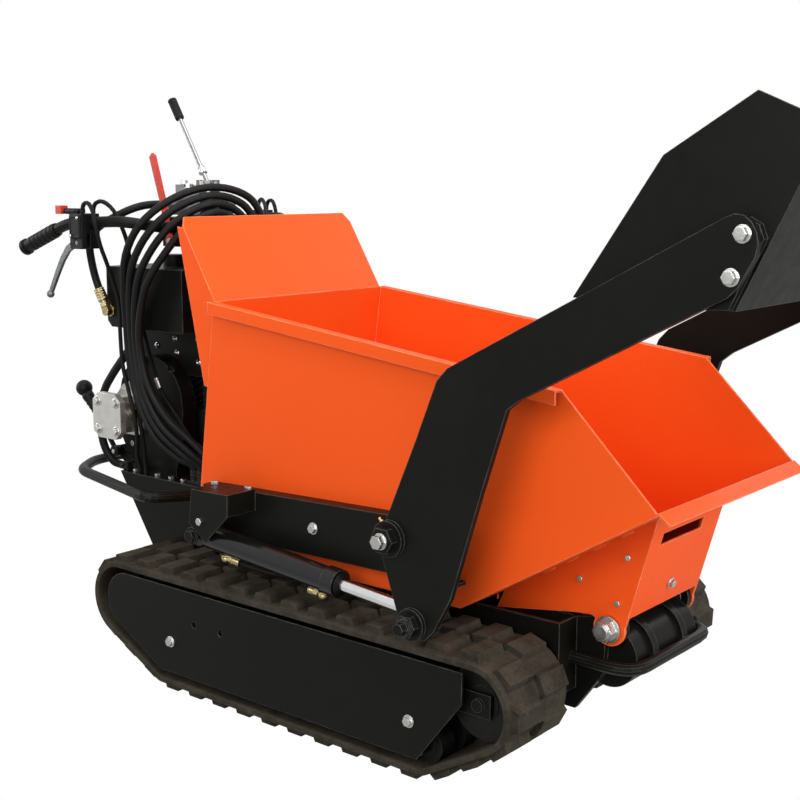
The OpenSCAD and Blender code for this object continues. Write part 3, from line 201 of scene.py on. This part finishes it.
def finish(name, base, tint, rough, rough_span, metallic=0.0, drift=6.0, amount=0.5, grain=700.0,
           bump=0.1, bump_depth=0.0006, edge=None, edge_radius=0.002, highlight_amount=0.6,
           dust=0.0, dust_color=(0.1, 0.085, 0.065), specular=0.5):
    """A painted, plated, cast or rubber surface with drift, grain, a painted highlight along its
    edges, and dust.
    """
    made = bpy.data.materials.new(name)
    made.use_nodes = True
    tree = made.node_tree
    shader = tree.nodes["Principled BSDF"]
    skin = placed(tree, SKIN, Base=opaque(base), Tint=opaque(tint), Drift=drift, Grain=grain,
                  Amount=amount)
    highlit_edges = placed(tree, EDGE_HIGHLIGHT, Radius=edge_radius)
    color = skin["Color"]
    # The edge colour is a painted highlight: a lighter colour laid along the edges, in patches
    if edge:
        patchy = calc(tree, "MULTIPLY", ramp(tree, skin["Smudge"], *HIGHLIGHT_SMUDGE), highlight_amount)
        color = blend(tree, calc(tree, "MULTIPLY", highlit_edges["Mask"], patchy), color, opaque(edge))
    if dust:
        color = blend(tree, placed(tree, DUST, Amount=dust)["Mask"], color, opaque(dust_color))
    tree.links.new(color, shader.inputs["Base Color"])
    gloss = node(tree, "ShaderNodeMapRange", [
        ("Value", skin["Smudge"]), ("From Min", GLOSS_SMUDGE[0]), ("From Max", GLOSS_SMUDGE[1]),
        ("To Min", rough - rough_span), ("To Max", rough + rough_span)])
    tree.links.new(gloss.outputs["Result"], shader.inputs["Roughness"])
    grainy = node(tree, "ShaderNodeBump", [
        ("Strength", bump), ("Distance", bump_depth), ("Height", skin["Grain"]),
        ("Normal", highlit_edges["Normal"])])
    tree.links.new(grainy.outputs["Normal"], shader.inputs["Normal"])
    shader.inputs["Metallic"].default_value = metallic
    shader.inputs["Specular IOR Level"].default_value = specular
    FINISH[name] = made


# Each finish's edge colour is a painted highlight along its edges, lighter than the surface
finish("black_steel", base=(0.0058, 0.0057, 0.0044), tint=(0.0088, 0.0085, 0.0070), rough=0.36,
       rough_span=0.07, grain=1500.0, edge=(0.22, 0.22, 0.205), highlight_amount=0.7, edge_radius=0.0024,
       specular=0.1)
finish("orange_coat", base=(0.84, 0.090, 0.0090), tint=(0.88, 0.106, 0.0125), rough=0.46,
       rough_span=0.05, drift=2.4, grain=1300.0, bump=0.06, edge=(1.0, 0.50, 0.28), highlight_amount=1.0,
       edge_radius=0.003, specular=0.12)
finish("zinc_plate", base=(0.60, 0.595, 0.57), tint=(0.48, 0.48, 0.465), rough=0.29,
       rough_span=0.08, metallic=1.0, drift=60.0, grain=2200.0, bump=0.12, edge=(0.75, 0.75, 0.73))
finish("track_rubber", base=(0.023, 0.0198, 0.0146), tint=(0.039, 0.033, 0.0245), rough=0.74,
       rough_span=0.1, drift=14.0, amount=0.9, grain=420.0, bump=0.35, bump_depth=0.0012,
       edge=(0.07, 0.06, 0.047), edge_radius=0.004, dust=0.5, dust_color=(0.098, 0.083, 0.060),
       specular=0.1)
finish("soft_black", base=(0.0052, 0.0052, 0.0051), tint=(0.009, 0.0088, 0.0085), rough=0.42,
       rough_span=0.07, grain=1900.0, bump=0.22, edge=(0.05, 0.05, 0.05), highlight_amount=0.5,
       specular=0.15)
finish("cast_grey", base=(0.17, 0.175, 0.18), tint=(0.11, 0.115, 0.12), rough=0.36, rough_span=0.08,
       metallic=0.85, drift=30.0, grain=1600.0, bump=0.2, edge=(0.5, 0.51, 0.52))
finish("chrome_bar", base=(0.86, 0.86, 0.855), tint=(0.76, 0.76, 0.76), rough=0.11, rough_span=0.03,
       metallic=1.0, drift=40.0, grain=2600.0, bump=0.03)
finish("raw_aluminium", base=(0.66, 0.65, 0.60), tint=(0.52, 0.51, 0.47), rough=0.46,
       rough_span=0.09, metallic=0.9, drift=26.0, amount=0.8, grain=1100.0, bump=0.3,
       edge=(0.7, 0.7, 0.68))
finish("red_coat", base=(0.58, 0.036, 0.016), tint=(0.50, 0.030, 0.013), rough=0.38,
       rough_span=0.06, drift=20.0, grain=1500.0, edge=(0.85, 0.26, 0.2), highlight_amount=0.5,
       specular=0.3)
finish("brass_fitting", base=(0.46, 0.34, 0.13), tint=(0.50, 0.45, 0.29), rough=0.3,
       rough_span=0.08, metallic=1.0, drift=90.0, amount=0.9, grain=2000.0, edge=(0.85, 0.72, 0.45))
finish("grip_rubber", base=(0.0062, 0.0059, 0.0055), tint=(0.0105, 0.0100, 0.0093), rough=0.44,
       rough_span=0.08, drift=18.0, grain=1700.0, bump=0.16, edge=(0.04, 0.039, 0.037),
       highlight_amount=0.4, specular=0.14)
finish("dark_iron", base=(0.011, 0.011, 0.0105), tint=(0.019, 0.018, 0.0165), rough=0.5,
       rough_span=0.1, drift=20.0, grain=900.0, bump=0.35, edge=(0.12, 0.117, 0.112),
       highlight_amount=0.5, dust=0.15, dust_color=(0.035, 0.03, 0.024), specular=0.12)

# Two variants: the valve lever's darker chrome and the cylinders' glossy black
finish("dark_chrome", base=(0.36, 0.365, 0.375), tint=(0.28, 0.285, 0.29), rough=0.16,
       rough_span=0.05, metallic=1.0, drift=40.0, grain=2600.0, bump=0.03)
finish("gloss_black", base=(0.0050, 0.0050, 0.0046), tint=(0.0072, 0.0070, 0.0064), rough=0.15,
       rough_span=0.04, grain=2200.0, bump=0.03, edge=(0.2, 0.2, 0.19), specular=0.45)
VARIANTS = {"valve_lever": "dark_chrome", "lift_barrels": "gloss_black", "tip_barrel": "gloss_black"}

for subpart in frame["record"]["subparts"]:
    name = subpart["node"]
    materials = NODES[name].data.materials
    materials.clear()
    materials.append(FINISH[VARIANTS.get(name, subpart["material_slot"])])

# The hose fittings are brass on the tank and the console, and dark where they stand on the deck
DECK_FITTINGS_TOP = 0.6
fittings = NODES["hose_fittings"].data
fittings.materials.append(FINISH["dark_iron"])
for face in fittings.polygons:
    if face.center.z < DECK_FITTINGS_TOP:
        face.material_index = 1

# Rounded edges of the solids, as modifiers: the radius in metres for each node
ROUNDING = {
    "track_belt_right": 0.006, "track_belt_left": 0.006, "hand_grips": 0.0008, "lever_perches": 0.003,
    "valve_block": 0.002, "gear_pump": 0.0016, "oil_tank": 0.004, "clutch_lever": 0.0015,
    "throttle_lever": 0.003, "steer_lever_right": 0.0016, "steer_lever_left": 0.0016,
    "chassis_fasteners": 0.0008, "box_fasteners": 0.0008, "shovel_bolts": 0.001, "arm_right": 0.0014,
    "arm_left": 0.0014, "loader_pins": 0.0012, "air_filter": 0.004, "fuel_tank": 0.006,
}
WIDE_ROUNDING = 0.003
MERGE_DISTANCE = 0.00002
SHARPEST_KEPT = math.radians(38)
for name, radius in ROUNDING.items():
    modifiers = NODES[name].modifiers
    modifiers.new("weld", "WELD").merge_threshold = MERGE_DISTANCE
    rounding = modifiers.new("round", "BEVEL")
    rounding.width = radius
    rounding.segments = 3 if radius > WIDE_ROUNDING else 2
    rounding.limit_method = "ANGLE"
    rounding.angle_limit = SHARPEST_KEPT
    modifiers.new("even", "WEIGHTED_NORMAL")


# Shapes that the small pieces share


def link(name, data):
    """A new object in the scene, at the origin."""
    made = bpy.data.objects.new(name, data)
    bpy.context.scene.collection.objects.link(made)
    return made


def piece(name, bm, finish_name, body, smooth=True):
    """Turns a finished bmesh into a piece that rides on a body."""
    mesh = bpy.data.meshes.new(name)
    bmesh.ops.recalc_face_normals(bm, faces=bm.faces)
    bm.to_mesh(mesh)
    bm.free()
    for face in mesh.polygons:
        face.use_smooth = smooth
    mesh.materials.append(FINISH[finish_name])
    made = link(name, mesh)
    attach(made, body)


def seat(at, axis):
    """The matrix that stands a shape on a point, with its height along the axis."""
    return Matrix.Translation(at) @ UPWARD.rotation_difference(Vector(axis)).to_matrix().to_4x4()


def turned(bm, profile, at, axis, steps=24):
    """Spins (radius, height) points about an axis through a point, as on a lathe."""
    stand = seat(at, axis)
    verts = [bm.verts.new(stand @ Vector((radius, 0, height))) for radius, height in profile]
    edges = [bm.edges.new(pair) for pair in zip(verts, verts[1:])]
    bmesh.ops.spin(bm, geom=verts + edges, cent=at, axis=axis, angle=math.tau, steps=steps,
                   use_merge=True)
    bmesh.ops.remove_doubles(bm, verts=bm.verts, dist=1e-6)


def raised(bm, face, rise):
    """Extrudes a lone face into a block, and gives the corners and edges of its new top."""
    out = bmesh.ops.extrude_face_region(bm, geom=[face])["geom"]
    corners = [v for v in out if isinstance(v, bmesh.types.BMVert)]
    bmesh.ops.translate(bm, verts=corners, vec=rise)
    return corners, [e for e in out if isinstance(e, bmesh.types.BMEdge)]


def softened(bm, edges, radius, segments):
    bmesh.ops.bevel(bm, geom=edges, offset=radius, affect="EDGES", segments=segments, profile=0.5,
                    material=-1)


def hex_nut(bm, at, axis, radius, height, washer=0.0):
    """A hexagon head or nut with worn corners, on a washer where one is asked for."""
    axis = Vector(axis).normalized()
    base = seat(at, axis)
    if washer:
        edge, top, sunk = 0.0016, 0.0021, 0.0002
        turned(bm, [(0, 0), (washer, 0), (washer, edge), (washer * 0.94, top), (0, top)], at, axis)
        base = seat(at + axis * (top - sunk), axis)
    ring = bmesh.ops.create_circle(bm, cap_ends=True, segments=6, radius=radius, matrix=base)
    _, crown = raised(bm, ring["verts"][0].link_faces[0], axis * height)
    worn_corner = 0.0008
    softened(bm, crown, worn_corner, 2)


def dome_bolt(bm, at, axis, radius, height):
    """A domed bolt end above its washer."""
    rim, rim_top, shoulder, foot = radius * 1.45, 0.0015, radius * 1.38, 0.002
    turns = [math.radians(15 * k) for k in range(6)]
    arc = [(radius * math.cos(turn), foot + height * math.sin(turn)) for turn in turns]
    washer = [(0, 0), (rim, 0), (rim, rim_top), (shoulder, foot)]
    turned(bm, washer + arc + [(0, foot + height)], at, axis, steps=20)


def crimped_sleeve(bm, at, axis, radius, length, rings=4):
    """A pressed hose sleeve with rolled grooves."""
    bore, groove, margin = radius * 0.72, radius * 0.93, 0.08 * length
    profile = [(bore, 0), (radius * 0.98, 0.0006)]
    width = (length - 2 * margin) / rings
    for k in range(rings):
        start = margin + k * width
        profile += [(radius, start), (radius, start + width * 0.55)]
        profile += [(groove, start + width * 0.66), (groove, start + width * 0.9)]
    profile += [(radius, length * 0.94), (radius * 0.97, length), (bore, length)]
    turned(bm, profile, at, axis)


def weld_bead(bm, start, stop, radius, pitch=0.006):
    """A weld bead: a row of ripples from one point to another."""
    run = stop - start
    ripples = max(3, round(run.length / pitch))
    step = run.length / ripples
    profile = [(0, 0)]
    for k in range(ripples):
        foot, crest, end = (k + 0.08) * step, (k + 0.55) * step, (k + 0.92) * step
        profile += [(radius * 0.82, foot), (radius, crest), (radius * 0.9, end)]
    turned(bm, profile + [(0, run.length)], start, run, steps=10)


def cable(bm, stops, radius):
    """A round cable that runs smoothly through its stops."""
    curve = bpy.data.curves.new("cable_run", "CURVE")
    curve.dimensions = "3D"
    curve.resolution_u = 6
    curve.bevel_depth = radius
    curve.bevel_resolution = 3
    curve.use_fill_caps = True
    run = curve.splines.new("BEZIER")
    run.bezier_points.add(len(stops) - 1)
    for point, stop in zip(run.bezier_points, stops):
        point.co = stop
        point.handle_left_type = point.handle_right_type = "AUTO"
    holder = bpy.data.objects.new("cable_run", curve)
    mesh = bpy.data.meshes.new_from_object(holder)
    bm.from_mesh(mesh)
    bmesh.ops.remove_doubles(bm, verts=bm.verts, dist=1e-6)
    bpy.data.meshes.remove(mesh)
    bpy.data.objects.remove(holder)
    bpy.data.curves.remove(curve)


# Hydraulic fittings

# The lift cylinders' rear pin and rod eye, as X and Z, and how far they stand from the middle
LIFT_PIN, LIFT_EYE, LIFT_Y = (-230, 355), (367, 304), 340
LIFT_LEAN = math.atan2(LIFT_EYE[1] - LIFT_PIN[1], LIFT_EYE[0] - LIFT_PIN[0])
ALONG = Vector((math.cos(LIFT_LEAN), 0, math.sin(LIFT_LEAN)))
BELOW = Vector((math.sin(LIFT_LEAN), 0, -math.cos(LIFT_LEAN)))


def lift_cylinder_fittings():
    """Nuts, elbows and hose ends at the lift cylinders' ports, and the wipers round their rods."""
    nuts, sleeves, wipers, elbows, couplings = (bmesh.new() for _ in range(5))
    elbow = [(0, 0.0405), (0.0078, 0.0405), (0.0098, 0.0388), (0.0108, 0.0350), (0.0108, 0.0300),
             (0.0091, 0.0296)]
    wiper = [(0.0131, 0.3852), (0.0215, 0.3852), (0.0225, 0.3862), (0.0215, 0.3885),
             (0.0165, 0.3895), (0.0155, 0.3925), (0.0131, 0.3930)]
    collar_drop, collar_radius, collar_height = 0.0255, 0.0135, 0.0045
    elbow_drop, elbow_reach, nut_radius, nut_length = 0.033, 0.0105, 0.0108, 0.009
    end_inset, end_drop, last_inward = 0.064, 0.038, 21
    coupling_radius, coupling_length = 0.0079, 0.014
    for side in SIDES:
        pin = spot(LIFT_PIN[0], side * LIFT_Y, LIFT_PIN[1])
        for port, way, sleeve_length in ((0.075, 1, 0.022), (0.345, -1, 0.016)):
            outlet = pin + ALONG * (port + way * elbow_reach) + BELOW * elbow_drop
            hex_nut(nuts, outlet, ALONG * way, radius=nut_radius, height=nut_length)
            collar = pin + ALONG * port + BELOW * collar_drop
            hex_nut(nuts, collar, BELOW, radius=collar_radius, height=collar_height)
            hose_start = outlet + ALONG * way * nut_length
            crimped_sleeve(sleeves, hose_start, ALONG * way, radius=0.0094, length=sleeve_length,
                           rings=3)
            turned(elbows, elbow, pin + ALONG * port, BELOW, steps=28)
        inward = Vector((0, -side, 0))
        # Where each hose ends along the barrel, and how its last stretch leads along it
        for reach, lead in ((0.230, 8), (0.252, -5)):
            hose_end = pin + ALONG * reach + inward * end_inset + BELOW * end_drop
            axis = (ALONG * lead + inward * last_inward - BELOW).normalized()
            crimped_sleeve(couplings, hose_end - axis * coupling_length, axis,
                           radius=coupling_radius, length=coupling_length, rings=3)
            hex_nut(couplings, hose_end - axis * 0.0005, axis, radius=0.0082, height=0.006)
        turned(wipers, wiper, pin, ALONG, steps=32)
    piece("lift_port_nuts", nuts, "brass_fitting", "lift_cylinder_barrels", smooth=False)
    piece("lift_port_elbows", elbows, "brass_fitting", "lift_cylinder_barrels")
    piece("lift_hose_sleeves", sleeves, "brass_fitting", "lift_cylinder_barrels")
    piece("lift_hose_couplings", couplings, "brass_fitting", "lift_cylinder_barrels", smooth=False)
    piece("lift_rod_wipers", wipers, "soft_black", "lift_cylinder_barrels")


def return_hose_fittings():
    """Sleeve and nuts of the return hose on the tank's elbow."""
    tank_boss, elbow_nut = spot(-690, -190.2, 776), spot(-694.6, -205, 784.8)
    elbow_start, elbow_end = spot(-690, -205, 776), spot(-701.8, -205, 798.6)
    hose_start, hose_next = spot(-702, -205, 799), spot(-708, -206, 811)
    sleeve_foot = spot(-701.7, -204.9, 798.5)
    sleeve, nuts = bmesh.new(), bmesh.new()
    crimped_sleeve(sleeve, sleeve_foot, hose_next - hose_start, radius=0.0122, length=0.030)
    hex_nut(nuts, elbow_nut, elbow_end - elbow_start, radius=0.0118, height=0.010)
    hex_nut(nuts, tank_boss, RIGHTWARD, radius=0.0145, height=0.007)
    piece("return_hose_sleeve", sleeve, "brass_fitting", "chassis")
    piece("return_hose_nuts", nuts, "brass_fitting", "chassis", smooth=False)


def pressure_hose_sleeves():
    """Sleeves of the four pressure hoses, at the console and on the deck."""
    console_x, console_nut_top = -402, 950.6
    deck_y, deck_nut_top = -163, 411.8
    console, deck = bmesh.new(), bmesh.new()
    for y in (18, -4, -26, -48):
        crimped_sleeve(console, spot(console_x, y, console_nut_top), UPWARD, radius=0.0107,
                       length=0.012, rings=2)
    for x in (-450, -428, -406, -384):
        crimped_sleeve(deck, spot(x, deck_y, deck_nut_top), UPWARD, radius=0.0106, length=0.016,
                       rings=2)
    piece("console_hose_sleeves", console, "zinc_plate", "chassis")
    piece("deck_hose_sleeves", deck, "dark_iron", "chassis")


def pump_fittings():
    """Washers under the pump's bolts, and the nuts of its two ports."""
    washers, nuts = bmesh.new(), bmesh.new()
    washer = [(0.0082, 0), (0.0118, 0), (0.0118, 0.0014), (0.0112, 0.0019), (0.0082, 0.0019)]
    pump_x, pump_face, pump_z, bolt_offset = -672, -232, 535, 33
    for across in SIDES:
        for rise in SIDES:
            bolt = spot(pump_x + across * bolt_offset, pump_face, pump_z + rise * bolt_offset)
            turned(washers, washer, bolt, RIGHTWARD, steps=28)
    front_port, rear_port, port_radius = spot(-622.5, -191, 541), spot(-725, -191, 527), 0.0135
    hex_nut(nuts, front_port, FORWARD, radius=port_radius, height=0.008)
    hex_nut(nuts, rear_port, REARWARD, radius=port_radius, height=0.009)
    piece("pump_washers", washers, "zinc_plate", "chassis")
    piece("pump_port_nuts", nuts, "brass_fitting", "chassis", smooth=False)


def tank_plugs():
    """The two plugs in the oil tank's rear wall."""
    tank_rear, plug_y, plug_z = -708, 110, 800
    plugs = bmesh.new()
    for side in SIDES:
        at = spot(tank_rear, side * plug_y, plug_z)
        hex_nut(plugs, at, REARWARD, radius=0.010, height=0.007, washer=0.013)
    piece("tank_plugs", plugs, "zinc_plate", "chassis", smooth=False)


# Controls


def engine_cable():
    """The cable that runs behind the hoses to the deck, with its clamped sleeve."""
    clamp = spot(-560, -174, 628)
    above_clamp, below_clamp = spot(-558, -174, 624), spot(-545, -174, 600)
    stops = [spot(-606, -172, 742), spot(-592, -173, 706), spot(-574, -174, 660), above_clamp,
             below_clamp, spot(-502, -172, 552), spot(-450, -168, 498), spot(-424, -150, 462),
             spot(-420, -136, 420), spot(-420, -136, 387)]
    run, sleeve = bmesh.new(), bmesh.new()
    cable(run, stops, radius=0.0042)
    crimped_sleeve(sleeve, clamp, below_clamp - above_clamp, radius=0.0062, length=0.026, rings=3)
    piece("engine_cable", run, "soft_black", "chassis")
    piece("engine_cable_sleeve", sleeve, "zinc_plate", "chassis")


def valve_lever_dress():
    """Ribbed grip and knuckle of the valve lever."""
    lean = math.radians(31.3)
    foot, up = spot(-497, -60, 1066), Vector((-math.sin(lean), 0, math.cos(lean)))
    grip, knuckle = bmesh.new(), bmesh.new()
    ribs, first_rib, rib_pitch, rib_radius, groove_radius = 7, 0.1755, 0.0058, 0.0104, 0.0097
    ribbed = [(0.0062, 0.1700), (0.0094, 0.1705), (0.0102, 0.1725)]
    for k in range(ribs):
        rib = first_rib + rib_pitch * k
        ribbed += [(rib_radius, rib), (rib_radius, rib + 0.0034)]
        ribbed += [(groove_radius, rib + 0.0042), (groove_radius, rib + 0.0051)]
    ribbed += [(0.0106, 0.2165), (0.0106, 0.2195), (0.0094, 0.2222), (0.0060, 0.2234), (0, 0.2238)]
    turned(grip, ribbed, foot, up, steps=28)
    collar = [(0.0052, 0.0260), (0.0094, 0.0265), (0.0102, 0.0290), (0.0102, 0.0340),
              (0.0092, 0.0365), (0.0080, 0.0375), (0.0078, 0.0430), (0.0052, 0.0445)]
    turned(knuckle, collar, foot, up)
    piece("valve_lever_grip", grip, "grip_rubber", "joystick")
    piece("valve_lever_knuckle", knuckle, "chrome_bar", "joystick")


def valve_plugs():
    """Plugs and caps on the valve block."""
    block_rear, block_front, bore_z = -590, -452, 1019
    plugs = bmesh.new()
    for x, y, z in ((-576, -61, 1064), (-551, -70, 1056), (-551, -50, 1056)):
        hex_nut(plugs, spot(x, y, z), UPWARD, radius=0.0085, height=0.008, washer=0.0105)
    for y in (-84, -36):
        hex_nut(plugs, spot(block_rear, y, bore_z), REARWARD, radius=0.0135, height=0.009)
        hex_nut(plugs, spot(block_front, y, bore_z), FORWARD, radius=0.0115, height=0.008)
    piece("valve_plugs", plugs, "zinc_plate", "chassis", smooth=False)


def switch_lids():
    """Dished lids of the two switch housings, with their screws."""
    lids, screws = bmesh.new(), bmesh.new()
    housing_x, housing_face, housing_z, screw_face = -672, 298.2, 971, 302.3
    width, height, depth, corner = 0.038, 0.052, 0.0043, 0.0038
    rim_width, dish_depth = 0.004, 0.0012
    for side in SIDES:
        outward = Vector((0, side, 0))
        middle = spot(housing_x, side * housing_face, housing_z)
        back = seat(middle, outward) @ Matrix.Diagonal((width, height, 1, 1))
        grid = bmesh.ops.create_grid(lids, x_segments=1, y_segments=1, size=0.5, matrix=back)
        corners, rim = raised(lids, grid["verts"][0].link_faces[0], outward * depth)
        posts = [e for post in corners for e in post.link_edges if e not in rim]
        softened(lids, rim + posts, corner, 3)
        front = middle.y + side * depth
        flat = [f for f in lids.faces if abs(f.calc_center_median().y - front) < 1e-5]
        bmesh.ops.inset_region(lids, faces=flat, thickness=rim_width, depth=-dish_depth)
        for x, z in ((-685, 951), (-659, 991)):
            dome_bolt(screws, spot(x, side * screw_face, z), outward, radius=0.0026, height=0.0016)
    piece("switch_lids", lids, "soft_black", "chassis", smooth=False)
    piece("switch_screws", screws, "zinc_plate", "chassis")


def thumb_lever_sleeve():
    """Black sleeve and cap of the thumb lever."""
    post, stem_start = spot(-684, -273, 1000), spot(-684, -273, 1004.5)
    cap = [(0.0042, 0.0113), (0.0060, 0.0113), (0.0098, 0.0106), (0.0104, 0.0094), (0.0104, 0.0012),
           (0.0092, 0.0008)]
    stem = [(0.0054, 0.0085), (0.0066, 0.0095), (0.0069, 0.0180), (0.0066, 0.0300),
            (0.0069, 0.0420), (0.0066, 0.0560), (0.0054, 0.0575)]
    sleeve = bmesh.new()
    turned(sleeve, cap, post, UPWARD, steps=28)
    turned(sleeve, stem, stem_start, REARWARD, steps=20)
    piece("thumb_lever_sleeve", sleeve, "soft_black", "throttle")


def gear_lever_boot():
    """Pleated boot under the gear lever's knob."""
    pivot, up_the_lever = spot(-745, -150, 430), (-117, 0, 142)
    fold_height, crest_height, pleat_pitch = 0.112, 0.118, 0.012
    fold_radius, crest_radius, growth = 0.0080, 0.0100, 0.0014
    pleats = [(0.0062, 0.108)]
    for k in range(4):
        pleats += [(fold_radius + growth * k, fold_height + pleat_pitch * k)]
        pleats += [(crest_radius + growth * k, crest_height + pleat_pitch * k)]
    pleats += [(0.0150, 0.160), (0.0140, 0.168), (0.0062, 0.169)]
    boot = bmesh.new()
    turned(boot, pleats, pivot, up_the_lever, steps=28)
    piece("gear_lever_boot", boot, "grip_rubber", "gear_stick")


# Bolts, plugs, welds and nipples


def shield_bolts():
    """Bolts of the shield plate under the tank."""
    shield_y = -98
    bolts = bmesh.new()
    for x, z in ((-579, 710), (-574, 677), (-644, 690), (-500, 714), (-500, 660)):
        dome_bolt(bolts, spot(x, shield_y, z), RIGHTWARD, radius=0.0052, height=0.005)
    piece("shield_bolts", bolts, "zinc_plate", "chassis")


def cover_plugs():
    """Rubber plugs in the grease holes of the track covers."""
    cover_y, hole_z = 364, 164
    plug = [(0, 0.0012), (0.0045, 0.0014), (0.0068, 0.0005), (0.0068, -0.0010), (0.0105, -0.0010),
            (0.0105, -0.0030), (0, -0.0030)]
    plugs = bmesh.new()
    for side in SIDES:
        for x in (-230, -151):
            turned(plugs, plug, spot(x, side * cover_y, hole_z), (0, side, 0))
    piece("cover_plugs", plugs, "soft_black", "chassis")


def pedestal_welds():
    """Weld beads under the chute and along the pedestal."""
    chute_foot, chute_lip = (381, 304), (774, 541)
    slope = (chute_lip[1] - chute_foot[1]) / (chute_lip[0] - chute_foot[0])
    length, sunk, plate_y = 26, 1.2, 132.6
    corner_x, corner_y, corner_top, corner_foot = 367.4, 130, 300, 285
    beads = bmesh.new()
    for side in SIDES:
        y = side * plate_y
        for x in (470, 520, 575, 630):
            z = chute_foot[1] + (x - chute_foot[0]) * slope - sunk
            weld_bead(beads, spot(x, y, z), spot(x + length, y, z + length * slope), radius=0.0026)
        top = spot(corner_x, side * corner_y, corner_top)
        weld_bead(beads, top, spot(corner_x, side * corner_y, corner_foot), radius=0.0022)
    piece("pedestal_welds", beads, "orange_coat", "box")


def arm_grease_nipples():
    """Grease nipples at the arm pivots."""
    boss_x, boss_y, boss_z, pointing = 293, 381.6, 474, (-0.7, 0, 0.72)
    nipple = [(0, 0), (0.0042, 0), (0.0042, 0.0030), (0.0028, 0.0042), (0.0022, 0.0062),
              (0.0031, 0.0078), (0.0031, 0.0092), (0.0016, 0.0108), (0, 0.0108)]
    nipples = bmesh.new()
    for side in SIDES:
        turned(nipples, nipple, spot(boss_x, side * boss_y, boss_z), pointing, steps=14)
    piece("arm_grease_nipples", nipples, "brass_fitting", "loader")


lift_cylinder_fittings()
return_hose_fittings()
pressure_hose_sleeves()
engine_cable()
valve_lever_dress()
valve_plugs()
switch_lids()
shield_bolts()
pump_fittings()
cover_plugs()
thumb_lever_sleeve()
gear_lever_boot()
pedestal_welds()
tank_plugs()
arm_grease_nipples()


# Light, floor and camera


def softbox(name, at, target, size, power):
    """A rectangular studio lamp that faces its target."""
    lamp = bpy.data.lights.new(name, "AREA")
    lamp.shape = "RECTANGLE"
    lamp.size, lamp.size_y = size
    lamp.energy = power
    stand = link(name, lamp)
    stand.location = at
    stand.rotation_euler = (Vector(target) - Vector(at)).to_track_quat("-Z", "Y").to_euler()


softbox("top_softbox", at=(0.2, -0.4, 3.6), target=(0.1, 0, 0.4), size=(3.6, 3.0), power=86)
softbox("key_softbox", at=(1.0, -3.8, 2.0), target=(0, 0, 0.5), size=(2.4, 1.8), power=70)
softbox("front_softbox", at=(3.6, -0.4, 1.7), target=(0.2, 0, 0.6), size=(2.0, 1.8), power=84)
softbox("rear_strip", at=(-3.4, -1.6, 1.8), target=(-0.3, 0, 0.5), size=(0.8, 2.2), power=30)
softbox("back_strip", at=(0.6, 3.2, 2.4), target=(0.2, 0, 0.6), size=(3.2, 1.0), power=30)


def by_ray(tree, ray, usual, special):
    """Shows one shader to a kind of ray, and another to the rest."""
    path = node(tree, "ShaderNodeLightPath")
    links = [(0, path.outputs[ray]), (1, usual), (2, special)]
    return node(tree, "ShaderNodeMixShader", links).outputs[0]


def studio_world():
    """Pale surroundings that light softly, and look white to the eye and in reflections."""
    world = bpy.data.worlds.new("studio")
    bpy.context.scene.world = world
    world.use_nodes = True
    tree = world.node_tree
    pale, white = (0.95, 0.96, 0.98, 1), (1, 1, 1, 1)
    room_light, mirrored_light = 0.46, 0.8
    soft = tree.nodes["Background"]
    soft.inputs["Color"].default_value = pale
    soft.inputs["Strength"].default_value = room_light
    mirrored = node(tree, "ShaderNodeBackground", [("Color", pale), ("Strength", mirrored_light)])
    bright = node(tree, "ShaderNodeBackground", [("Color", white), ("Strength", 1.0)])
    lit = by_ray(tree, "Is Glossy Ray", soft.outputs[0], mirrored.outputs[0])
    seen = by_ray(tree, "Is Camera Ray", lit, bright.outputs[0])
    tree.links.new(seen, tree.nodes["World Output"].inputs["Surface"])


def studio_floor():
    """A plain floor that looks white, also in reflections, and bounces a little light."""
    half_width, below_ground, mirrored_light = 14.0, 0.0004, 0.6
    grey, white = (0.42, 0.42, 0.42, 1), (1, 1, 1, 1)
    bm = bmesh.new()
    bmesh.ops.create_grid(bm, x_segments=1, y_segments=1, size=half_width)
    mesh = bpy.data.meshes.new("floor")
    bm.to_mesh(mesh)
    bm.free()
    floor = link("floor", mesh)
    floor.location = (0, 0, -below_ground)
    made = bpy.data.materials.new("floor_white")
    made.use_nodes = True
    tree = made.node_tree
    matt = tree.nodes["Principled BSDF"]
    matt.inputs["Base Color"].default_value = grey
    matt.inputs["Roughness"].default_value = 0.9
    mirrored = node(tree, "ShaderNodeEmission", [("Color", white), ("Strength", mirrored_light)])
    plain = node(tree, "ShaderNodeEmission", [("Color", white), ("Strength", 1.0)])
    lit = by_ray(tree, "Is Glossy Ray", matt.outputs[0], mirrored.outputs[0])
    seen = by_ray(tree, "Is Camera Ray", lit, plain.outputs[0])
    tree.links.new(seen, tree.nodes["Material Output"].inputs["Surface"])
    mesh.materials.append(made)


def photo_camera():
    """The camera at the photograph's viewing angle."""
    image_width, focal_pixels, sensor = 800.0, 1302.0, 36.0
    below_level, heading = math.radians(9.42), math.radians(39.59)
    data = bpy.data.cameras.new("camera")
    data.sensor_fit = "HORIZONTAL"
    data.sensor_width = sensor
    data.lens = focal_pixels / image_width * sensor
    eye = link("camera", data)
    eye.location = spot(1744, -2087, 1065)
    eye.rotation_euler = (math.radians(90) - below_level, 0, heading)
    bpy.context.scene.camera = eye


studio_world()
studio_floor()
photo_camera()
bpy.context.scene.view_settings.view_transform = "Standard"
